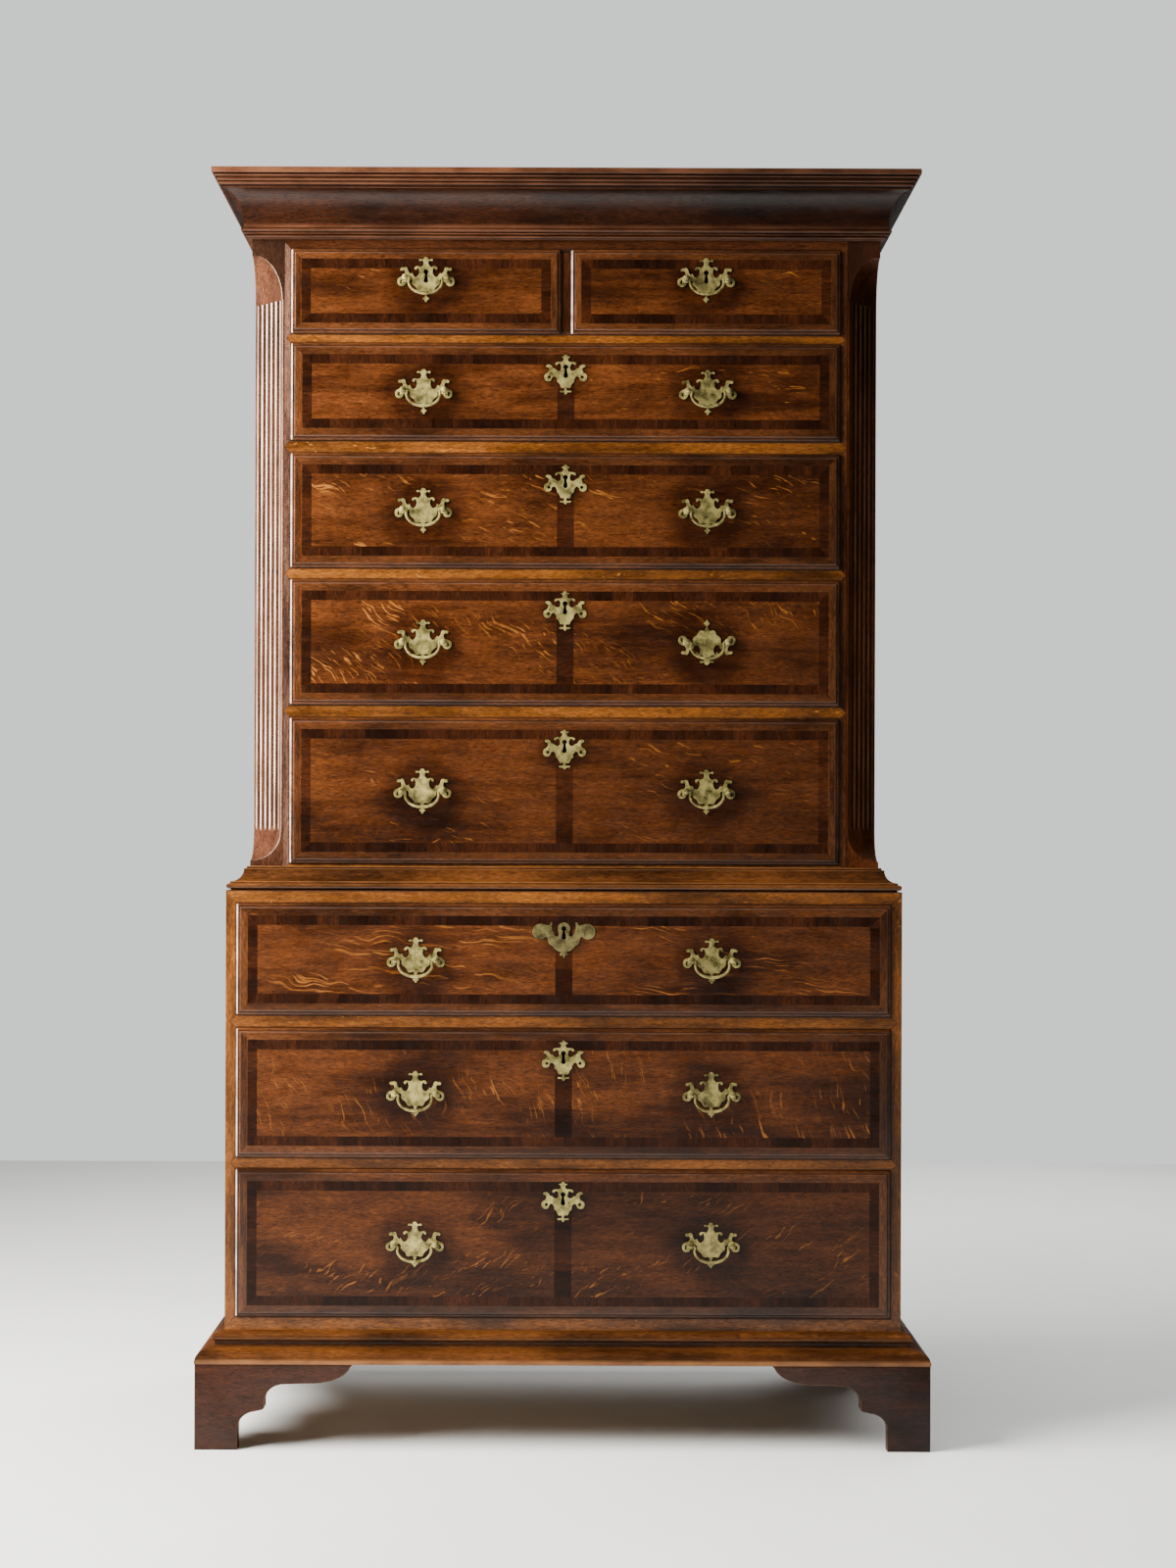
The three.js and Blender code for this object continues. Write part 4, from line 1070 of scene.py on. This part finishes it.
def drawer_front_mesh(drawer):
    """The front as one mesh, with the kind of wood of each face as its material's number."""
    lip_back = drawer.case.front - LIP_GAP
    inner = rounded(drawer, LIP_OVERLAP + DRAWER_GAP, 0)
    rings = [[(x, y, z) for x, z in inner] for y in (drawer.case.front + FRONT_DEPTH, lip_back)]
    for inset, proud in lip_profile():
        rings.append([(x, lip_back - proud, z) for x, z in rounded(drawer, inset, LIP_CORNER)])
    points = [p for ring in rings for p in ring]
    count = len(inner)
    faces = [list(range(count)), *ring_faces(len(rings), count)]
    kinds = ["field"] + ["edge"] * (len(faces) - 1)
    outer = [(len(rings) - 1) * count + i for i in range(count)]
    corners = []
    border_inset = SHORT_BORDER if drawer.short else BORDER
    for inset in (border_inset - 1, border_inset, border_inset + BAND_WIDTH):
        box = oblong(drawer.x0 + inset, drawer.x1 - inset, drawer.z0 + inset, drawer.z1 - inset)
        corners.append([len(points) + k for k in range(4)])
        points += [(x, drawer.face, z) for x, z in box]
    border, line, band = corners
    for k, way in enumerate(("across", "up", "across", "up")):
        n = (k + 1) % 4
        step = CORNER_STEPS + 1
        start = [outer[k * step + 1], outer[k * step + 2], outer[n * step], outer[n * step + 1]]
        faces.append(start + [border[n], border[k]])
        faces.append([border[k], border[n], line[n], line[k]])
        faces.append([line[k], line[n], band[n], band[k]])
        kinds += ["border_" + way, "line", "band_" + way]
    if drawer.short:
        faces.append(band)
        kinds.append("field")
    else:
        a, b, c, d = range(len(points), len(points) + 4)
        for z in (points[band[0]][2], points[band[2]][2]):
            points += [(drawer.middle + side * CENTRE_BAND / 2, drawer.face, z) for side in (-1, 1)]
        faces[faces.index([line[0], line[1], band[1], band[0]])] = [line[0], line[1], band[1], b, a, band[0]]
        faces[faces.index([line[2], line[3], band[3], band[2]])] = [line[2], line[3], band[3], c, d, band[2]]
        faces += [[band[0], a, c, band[3]], [b, band[1], band[2], d], [a, b, d, c]]
        kinds += ["field", "field", "band_up"]
    mesh = new_mesh("front_" + drawer.name, points, faces)
    for polygon, kind in zip(mesh.polygons, kinds):
        polygon.material_index = FRONT_KINDS.index(kind)
    face_out(mesh)
    return mesh


def keyhole(x, z):
    """A keyhole's outline, round at the top, anticlockwise."""
    points = arc((x, z), (KEY_RADIUS, KEY_RADIUS), -60, 240, 16)
    foot = KEY_RADIUS * 0.95
    return points + arc((x, z - KEY_LENGTH), (foot, foot), -160, -20, 8)


def prism_mesh(outline, y0, y1):
    """An upright prism of an outline in X and Z."""
    return loft_mesh("prism", [[(x, y, z) for x, z in outline] for y in (y0, y1)])


def box_mesh(xs, ys, zs):
    return prism_mesh(oblong(*xs, *zs), *ys)


def shown_mesh(shown):
    """The mesh of an object as its modifiers or its curve's settings leave it."""
    bpy.context.view_layer.update()
    return bpy.data.meshes.new_from_object(shown.evaluated_get(bpy.context.evaluated_depsgraph_get()))


def cut_prism(target, outline, y0, y1):
    """Cuts a prism out of an object."""
    tool = link("cutter", prism_mesh(outline, y0, y1))
    modifier = target.modifiers.new("cut", "BOOLEAN")
    modifier.operation = "DIFFERENCE"
    modifier.solver = "EXACT"
    modifier.object = tool
    result = shown_mesh(target)
    target.modifiers.clear()
    target.data = result
    bpy.data.objects.remove(tool)


def add_drawer_front(drawer):
    mesh = drawer_front_mesh(drawer)
    bails = [handle_place(n) for n in frame["nodes"] if n.startswith("bail_" + drawer.name)]
    # darkened spots round the brass, a little below each bail: handling grime and painted shadow
    spots = [(place[0], place[2] - 8, HANDLE_GRIME_SHADOW) for place in bails]
    if not drawer.short:
        spots.append((drawer.middle, drawer.key_z - 6, KEY_GRIME_SHADOW))
    oak = drawer_oak(drawer.name, [((x * MM, drawer.face * MM, z * MM), halo) for x, z, halo in spots])
    for material in (oak, LIP_OAK, BORDER_OAK, BORDER_OAK, BORDER_OAK, BAND, BAND):
        mesh.materials.append(material)
    front = link(mesh.name, mesh)
    front_y = drawer.case.front
    cut_prism(front, keyhole(drawer.middle, drawer.key_z), drawer.face - 5, front_y + KEY_DEPTH)
    (bolt_x0, bolt_y0, bolt_z0), (bolt_x1, bolt_y1, bolt_z1) = drawer.bolt
    slot = oblong(bolt_x0 - BOLT_PLAY, bolt_x1 + BOLT_PLAY, bolt_z0 - BOLT_PLAY, bolt_z1 + 1.2)
    cut_prism(front, slot, bolt_y0 - BOLT_PLAY, bolt_y1 + BOLT_PLAY)
    mesh = front.data

    def direction_of(polygon):
        kind = FRONT_KINDS[polygon.material_index]
        return "zxy" if kind in ("border_up", "band_across") else "xzy"

    def wear_and_painted_light_of(polygon, vertex):
        kind = FRONT_KINDS[polygon.material_index]
        centre = polygon.center / MM
        # painted shade on the keyhole's walls
        at_key = abs(centre.x - drawer.middle) < 6 and abs(centre.z - drawer.key_z) < 18
        if at_key and drawer.face + 0.5 < centre.y < front_y + KEY_DEPTH + 1:
            return KEY_WALL_SHADE
        # a thin painted highlight along the band's outer edge
        if kind == "line":
            return 0.2
        if kind != "edge":
            return 0.0
        place = mesh.vertices[vertex].co / MM
        left = place.x - drawer.x0
        others = min(drawer.x1 - place.x, place.z - drawer.z0, drawer.z1 - place.z)
        inset = min(left, others)
        # painted shade on the lip's back, under it
        if place.y > front_y - LIP_GAP - 0.5:
            return UNDER_LIP_SHADE
        # a pale painted highlight on the outer edge of the left lips
        if left < others + 0.2 and inset < 1.9:
            return LIT_LIP
        # painted shade in the quirk, and faintly paler where the lip meets the face
        return QUIRK_SHADE if 3.8 < inset < 4.9 else 0.2 if inset > 5.2 else 0.0

    write_grain(mesh, direction_of, wear_and_painted_light_of)
    shade(mesh, 30)
    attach(front, drawer.node)
    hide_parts(drawer.node)


def side_outline(y_front, y_back, z0, z1, count):
    """A drawer side seen from the right, with dovetails that reach forward into the front."""
    flare, half_pin, lap = 3.2, 2.5, 14
    y_lap = y_front - lap
    bottom, pitch = z0 + 2, (z1 - 1 - (z0 + 2)) / count
    points = [(y_back, z0), (y_back, z1), (y_front, z1)]
    for i in reversed(range(count)):
        low, high = bottom + i * pitch + half_pin, bottom + (i + 1) * pitch - half_pin
        points += [(y_front, high - flare), (y_lap, high), (y_lap, low), (y_front, low + flare)]
    return points + [(y_front, z0)]


def add_drawer_box(drawer):
    reach = LIP_OVERLAP + DRAWER_GAP
    x0, x1 = drawer.x0 + reach, drawer.x1 - reach
    z0, z1 = drawer.z0 + LIP_OVERLAP + DRAWER_SIT, drawer.z1 - reach
    inner, box_end = drawer.case.front + FRONT_DEPTH, drawer.back
    side_top = z1 - DRAWER_RISE
    floor = z0 + BOTTOM_RAISE
    outline = side_outline(inner, box_end, z0, side_top, max(3, round((side_top - z0) / 48)))
    lining = (drawer.node, "case_oak", INNER)
    for sign, side in SIDES:
        outer = x0 - 0.06 if sign < 0 else x1 + 0.06
        outline_board(
            f"side_{drawer.name}_{side}", outline, lambda a, d, u: (outer - sign * d, a, u), SIDE_BOARD,
            (*lining, "yzx"), 0.3,
        )
    xs = (x0 + SIDE_BOARD, x1 - SIDE_BOARD)
    board(f"back_{drawer.name}", xs, (box_end - SIDE_BOARD, box_end), (floor, side_top), (*lining, "xzy"))
    ys, zs = (inner, box_end - 1), (floor, floor + BOTTOM_BOARD)
    for i, span in enumerate(split(*xs, 2 if drawer.short else 4)):
        board(f"bottom_{drawer.name}_{i + 1}", span, ys, zs, (*lining, "yxz"), 0.5)


def add_drawers():
    for drawer in DRAWERS:
        add_drawer_front(drawer)
        add_drawer_box(drawer)


# Brass: right halves of the outlines, as (x, z) from a plate's middle or a keyhole

PLATE_HALF = [
    (0, 32.3), (2.9, 31.1), (4.1, 28.6), (6.0, 28.9), (8.4, 29.4), (10.2, 28.0), (8.8, 26.2), (5.5, 27.0),
    (3.6, 24.5), (3.9, 21.5), (5.5, 19.0), (7.5, 17.8), (9.8, 18.2), (12.5, 18.8), (15.8, 17.6),
    (16.8, 15.4), (15.0, 13.6), (13.4, 14.6), (12.0, 16.4), (10.2, 13.5), (9.8, 9.5), (11.0, 6.2),
    (13.0, 3.8), (15.0, 3.1), (17.5, 4.2), (19.4, 7.0), (20.8, 8.8), (22.4, 7.4), (24.0, 8.6),
    (25.6, 10.6), (26.4, 13.4), (27.6, 16.4), (30.0, 17.4), (32.4, 16.6), (35.6, 16.6), (37.6, 14.6),
    (36.4, 12.4), (34.2, 12.2), (32.0, 12.6), (30.6, 10.2), (30.8, 7.2), (32.6, 4.6), (36.8, 3.1),
    (41.0, 0.2), (42.0, -4.0), (40.2, -8.6), (36.0, -10.4), (31.4, -9.0), (28.9, -5.0), (29.4, -1.2),
    (27.0, 0.8), (23.5, 0.6), (20.6, -1.0), (20.4, -6.0), (18.2, -9.0), (14.6, -11.6), (12.6, -15.0),
    (11.0, -17.6), (8.6, -18.2), (4.4, -17.6), (2.4, -18.4), (2.4, -20.6), (1.0, -22), (1.2, -25.5),
    (3.6, -27.6), (4.6, -29.0), (2.4, -30.2), (0, -33.5),
]
LOBE = [(35.4, -1.0), (37.8, -2.6), (38.0, -5.4), (35.8, -6.8), (34.8, -5.6), (36.0, -4.4), (35.2, -3.0)]
ESCUTCHEON_HALF = [
    (0, 18.2), (2.2, 17.0), (3.0, 15.6), (5.9, 15.2), (5.6, 13.9), (3.8, 13.2), (3.4, 10.6), (3.9, 8.8),
    (7.6, 7.6), (12.0, 7.2), (15.2, 5.4), (14.6, 3.0), (12.6, 3.2), (10.5, 4.8), (8.4, 4.4), (7.0, 1.5),
    (6.9, -3.0), (8.6, -5.2), (11.0, -5.6), (13.6, -4.6), (15.8, -2.6), (17.6, -2.2), (20.0, -0.3),
    (20.6, 1.4), (22.8, 2.9), (26.9, 3.4), (28.9, 1.4), (27.0, -0.4), (24.4, -1.8), (24.4, -4.4),
    (26.2, -8.2), (30.0, -10.6), (31.4, -15.1), (29.6, -19.6), (25.4, -21), (21.2, -19.3), (19.5, -15.1),
    (17.0, -13.6), (14.1, -15.6), (12.6, -19.2), (12.3, -22.3), (11.0, -23.0), (9.0, -25.5),
    (7.9, -28.0), (7.0, -30.0), (4.0, -30.6), (2.0, -30.5), (1.6, -32), (2.6, -34.6), (8.4, -35.2),
    (7.6, -36.9), (3.0, -37.2), (0.6, -39.8), (0, -40),
]
WIDE_HALF = [
    (0, 9.0), (4.5, 7.8), (7.8, 4.5), (9.0, 0), (8.2, -4.4), (7.4, -8.5), (9.6, -11.6), (12.6, -10.6),
    (15.0, -6.6), (16.6, -1.6), (17.4, 3.0), (17.2, 8.4), (19.2, 9.0), (20.6, 5.4), (23.2, 4.6),
    (27.6, 5.6), (34.5, 6.8), (41.0, 4.6), (45.0, -1.0), (45.4, -7.4), (41.8, -13.2), (35.4, -15.6),
    (29.4, -14.4), (25.4, -11.8), (23.6, -15.6), (22.0, -21.4), (16.4, -25.4), (12.2, -30.2),
    (6.2, -33.6), (3.6, -34.2), (5.6, -36.4), (5.2, -39.2), (2.4, -38.6), (0, -42.6),
]
BAIL_LINE = [
    (33, 0), (27.5, 0), (25.2, -0.4), (24.1, -2.4), (24.6, -6.0), (24.0, -10.4), (21.4, -15.2),
    (16.6, -19.6), (9.6, -22.6), (4.2, -23.6), (0, -23.8),
]

# Profiles of turned pieces, as (radius, y)

POST_NECK = [
    (2.5, 4.6), (2.3, 6.0), (2.9, 7.6), (4.6, 8.6), (5.4, 9.6), (5.4, 11.2), (4.8, 12.4), (4.4, 13.4),
]
PIN_PROFILE = [(1.3, 0.3), (1.3, -0.3), (1.0, -0.7), (0.5, -0.95), (0.02, -1.0)]
SCREW_PROFILE = [(2.6, 0), (2.6, 0.5), (1.6, 1.1), (0.02, 1.2)]

SHANK_HALF = 2
NUT_HALF = 4
NUT_THICKNESS = 3
NUT_Y = POST_REACH + PLATE_THICKNESS + 0.2 + LIP_PROUD + LIP_GAP + FRONT_DEPTH + 0.2
BRASS_ANGLE = 40  # bends sharper than this stay sharp


def flip(outline):
    """The other half of an outline, or the other one of two holes."""
    return [(-x, z) for x, z in reversed(outline) if x > 0]


def fretted_mesh(name, half, holes, thickness, chamfer):
    """A flat plate with chamfered edges and pierced holes, facing -Y, with its back at y = 0."""
    curve = bpy.data.curves.new(name, "CURVE")
    curve.dimensions = "2D"
    curve.fill_mode = "BOTH"
    curve.resolution_u = 3
    curve.extrude = (thickness / 2 - chamfer) * MM
    curve.bevel_depth = chamfer * MM
    curve.bevel_resolution = 1
    curve.offset = -chamfer * MM
    for outline in [half + flip(half), *holes]:
        spline = curve.splines.new("BEZIER")
        spline.bezier_points.add(len(outline) - 1)
        for point, (x, z) in zip(spline.bezier_points, outline):
            point.co = (x * MM, z * MM, 0)
            point.handle_left_type = "AUTO"
            point.handle_right_type = "AUTO"
        spline.use_cyclic_u = True
    holder = link(name, curve)
    mesh = shown_mesh(holder)
    bpy.data.objects.remove(holder)
    mesh.transform(Matrix.Translation((0, -thickness / 2 * MM, 0)) @ Matrix.Rotation(math.pi / 2, 4, "X"))
    mesh.materials.clear()
    return mesh


def place_mesh(mesh, x, y, z, flipped=False):
    copy = mesh.copy()
    turn = Matrix.Scale(-1, 4, (0, 0, 1)) if flipped else Matrix.Identity(4)
    copy.transform(Matrix.Translation((x * MM, y * MM, z * MM)) @ turn)
    if flipped:
        copy.flip_normals()
    return copy


def circle(sides):
    """(cosine, sine) at even steps round a circle."""
    return [(math.cos(2 * math.pi * i / sides), math.sin(2 * math.pi * i / sides)) for i in range(sides)]


def lathe_mesh(profile, sides=24):
    """A turned solid about the Y axis from a profile of (radius, y)."""
    return loft_mesh("turned", [[(r * c, y, r * s) for c, s in circle(sides)] for r, y in profile])


def metal_piece(name, meshes, body, slot, material, angle):
    """Several meshes as one piece."""
    shape = bmesh.new()
    for mesh in meshes:
        shape.from_mesh(mesh)
    whole = shape_mesh(name, shape)
    shade(whole, angle)
    make(name, whole, body, slot, material)


def bail_radius(t):
    """The rod's radius at a share of the way from one end (0) to the other (1): it swells in the middle and
    has a bead on each side."""
    from_middle = abs(t - 0.5) * 2
    swell = 0.6 * math.exp(-((from_middle / 0.17) ** 2))
    bead = 0.5 * math.exp(-(((from_middle - 0.27) / 0.025) ** 2))
    return 1.8 + swell + bead


def smooth_line(points, steps):
    """Points on a smooth curve through points, some steps from each to the next."""
    line = []
    for i in range(len(points) - 1):
        p0, p1 = points[max(i - 1, 0)], points[i]
        p2, p3 = points[i + 1], points[min(i + 2, len(points) - 1)]
        for s in range(steps):
            t = s / steps
            line.append(0.5 * (2 * p1 + (p2 - p0) * t + (2 * p0 - 5 * p1 + 4 * p2 - p3) * t * t
                               + (3 * p1 - p0 - 3 * p2 + p3) * t ** 3))
    return line + [points[-1]]


def bail_mesh():
    half = [Vector((x, 0, z)) for x, z in BAIL_LINE]
    line = smooth_line(half + [Vector((-p.x, 0, p.z)) for p in reversed(half[:-1])], 4)
    lengths = [0.0]
    for a, b in zip(line, line[1:]):
        lengths.append(lengths[-1] + (b - a).length)
    rings = []
    across = Vector((0, 1, 0))
    for i, point in enumerate(line):
        along = (line[min(i + 1, len(line) - 1)] - line[max(i - 1, 0)]).normalized()
        up = along.cross(across)
        radius = bail_radius(lengths[i] / lengths[-1])
        rings.append([point + across * (radius * c) + up * (radius * s) for c, s in circle(12)])
    return loft_mesh("bail", rings)


def add_handles():
    holes = [LOBE, flip(LOBE)]
    plain = fretted_mesh("plate", PLATE_HALF, holes, PLATE_THICKNESS, 0.45)
    holes.append(keyhole(0, SHORT_KEY_RISE))
    keyed = fretted_mesh("plate_keyed", PLATE_HALF, holes, PLATE_THICKNESS, 0.45)
    bail = bail_mesh()
    post = lathe_mesh([(4.6 * s, -4.6 * c) for c, s in arc((0, 0), (1, 1), 4, 150, 14)] + POST_NECK)
    for bail_node in [n for n in frame["nodes"] if n.startswith("bail_")]:
        name = bail_node[len("bail_"):]
        body = next(d.node for d in DRAWERS if name.startswith(d.name))
        x, y, z = handle_place(bail_node)
        plate = keyed if name.startswith("short") else plain
        plate = place_mesh(plate, x, y + POST_REACH + PLATE_THICKNESS, z, name == "upper_third_right")
        shade(plate, BRASS_ANGLE)
        made = make("plate_" + name, plate, body, "brass", BRASS)
        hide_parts("handle_plate_" + name)
        shank = (SHANK_HALF, y + POST_REACH - 1, y + NUT_Y + NUT_THICKNESS + 0.6)
        nut = (NUT_HALF, y + NUT_Y, y + NUT_Y + NUT_THICKNESS)
        parts = []
        for side in (x - POST_X, x + POST_X):
            parts.append(place_mesh(post, side, y, z))
            for half, y0, y1 in (shank, nut):
                parts.append(box_mesh((side - half, side + half), (y0, y1), (z - half, z + half)))
        metal_piece("posts_" + name, parts, body, "brass", BRASS, 35)
        rod = place_mesh(bail, x, y, z)
        shade(rod, 60)
        swinging = make("swan_bail_" + name, rod, bail_node, "brass", BRASS)
        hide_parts(bail_node)


def add_escutcheons():
    spiral = arc((24.2, -14.7), (2.3, 2.3), 0, 330, 9)
    holes = [keyhole(0, 0), spiral, flip(spiral)]
    usual = fretted_mesh("escutcheon", ESCUTCHEON_HALF, holes, ESCUTCHEON_THICKNESS, 0.4)
    wide = fretted_mesh("wide_escutcheon", WIDE_HALF, holes[:1], ESCUTCHEON_THICKNESS, 0.4)
    pin = lathe_mesh(PIN_PROFILE, 12)
    usual_pins = [(-24, -9), (24, -9), (0, 13.5), (0, -33)]
    wide_pins = [(-29, -8), (29, -8), (-5, -24)]
    for drawer in DRAWERS:
        if drawer.short:
            continue
        plate, pins, brass = usual, usual_pins, BRASS
        if drawer.name == "lower_top":
            plate, pins, brass = wide, wide_pins, DULL_BRASS
        parts = [place_mesh(plate, 0, drawer.face, drawer.key_z)]
        for x, z in pins:
            parts.append(place_mesh(pin, x, drawer.face - ESCUTCHEON_THICKNESS, drawer.key_z + z))
        metal_piece("escutcheon_" + drawer.name, parts, drawer.node, "brass", brass, BRASS_ANGLE)


def add_locks():
    half, thickness, screw_x = 23, 4, 19
    screw = lathe_mesh(SCREW_PROFILE, 14)
    for drawer in DRAWERS:
        x, front = drawer.middle, drawer.case.front
        inner = front + FRONT_DEPTH
        top, bottom = drawer.z1 - LIP_OVERLAP - DRAWER_GAP, drawer.key_z - 14
        parts = [box_mesh((x - half, x + half), (inner - 0.5, inner + thickness), (bottom, top - 1))]
        for dx in (-screw_x, screw_x):
            parts += [place_mesh(screw, x + dx, inner + thickness, z) for z in (bottom + 4, top - 6)]
        parts.append(box_mesh((x - 1.2, x + 1.2), (front + 4, front + 14), (top - 31, top - 28.6)))
        metal_piece("lock_case_" + drawer.name, parts, drawer.node, "iron", IRON, 30)
        node = frame["nodes"]["lock_bolt_" + drawer.name]
        node.data.materials.clear()
        node.data.materials.append(IRON)


# Studio


def add_floor():
    s = Shader("studio_floor")
    mottled = s.ramp(s.noise(s.place(), (1.2, 1.2, 1.2), 3.0), 0.3, 0.7)
    s.put(s.surface.inputs["Base Color"], s.mix(mottled, (0.82, 0.82, 0.79), (0.87, 0.87, 0.84)))
    s.put(s.surface.inputs["Roughness"], 0.42)
    reach = 2900
    mesh = new_mesh("floor", [(x, y, 0) for x, y in oblong(-reach, reach, -reach, reach)], [[0, 1, 2, 3]])
    mesh.materials.append(s.material)
    floor = link("floor", mesh)
    floor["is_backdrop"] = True


def add_light(name, place, target, size, power, colour, mirrored=False):
    data = bpy.data.lights.new(name, "AREA")
    data.shape = "RECTANGLE"
    data.size, data.size_y = size
    data.energy = power
    data.color = colour
    light = link(name, data)
    light.location = place
    light.rotation_euler = (Vector(target) - Vector(place)).to_track_quat("-Z", "Y").to_euler()
    light.visible_camera = False
    light.visible_glossy = mirrored


def add_lights():
    """A large window's light from the left, a little of which the polish mirrors, and two weaker ones."""
    window_place = ((-1.85, -0.85, 1.9), (0.0, -0.35, 1.2), (1.8, 1.5))
    add_light("key", *window_place, 335, (1.0, 0.98, 0.95))
    add_light("sheen", *window_place, 45, (1.0, 0.98, 0.95), mirrored=True)
    add_light("back", (1.9, 2.4, 2.1), (0.2, 0.1, 0.7), (2.2, 1.8), 90, (0.97, 0.98, 1.0))
    add_light("above", (0.3, -0.2, 4.6), (0.2, -0.2, 0), (3.2, 2.2), 130, (1.0, 1.0, 1.0))


def add_world():
    """A pale grey room, dimmer as a light source than it looks to the camera."""
    world = bpy.data.worlds.new("studio")
    world.use_nodes = True
    tree = world.node_tree
    tree.nodes.clear()
    seen = tree.nodes.new("ShaderNodeBackground")
    seen.inputs["Color"].default_value = (1.0, 1.02, 1.02, 1)
    lit = tree.nodes.new("ShaderNodeBackground")
    lit.inputs["Color"].default_value = (0.9, 0.95, 1.0, 1)
    lit.inputs["Strength"].default_value = 0.07
    path = tree.nodes.new("ShaderNodeLightPath")
    mix = tree.nodes.new("ShaderNodeMixShader")
    out = tree.nodes.new("ShaderNodeOutputWorld")
    tree.links.new(path.outputs["Is Camera Ray"], mix.inputs[0])
    tree.links.new(lit.outputs[0], mix.inputs[1])
    tree.links.new(seen.outputs[0], mix.inputs[2])
    tree.links.new(mix.outputs[0], out.inputs[0])
    bpy.context.scene.world = world


def write_sizes():
    boxes = {"cad": cad_box, "visual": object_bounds()}
    lists = {key: [[float(c) for c in corner] for corner in box] for key, box in boxes.items()}


add_camera()
add_floor()
add_world()
add_lights()
add_mouldings()
add_feet()
add_lower_frame()
add_upper_frame()
add_cases()
add_drawers()
add_handles()
add_escutcheons()
add_locks()
write_sizes()
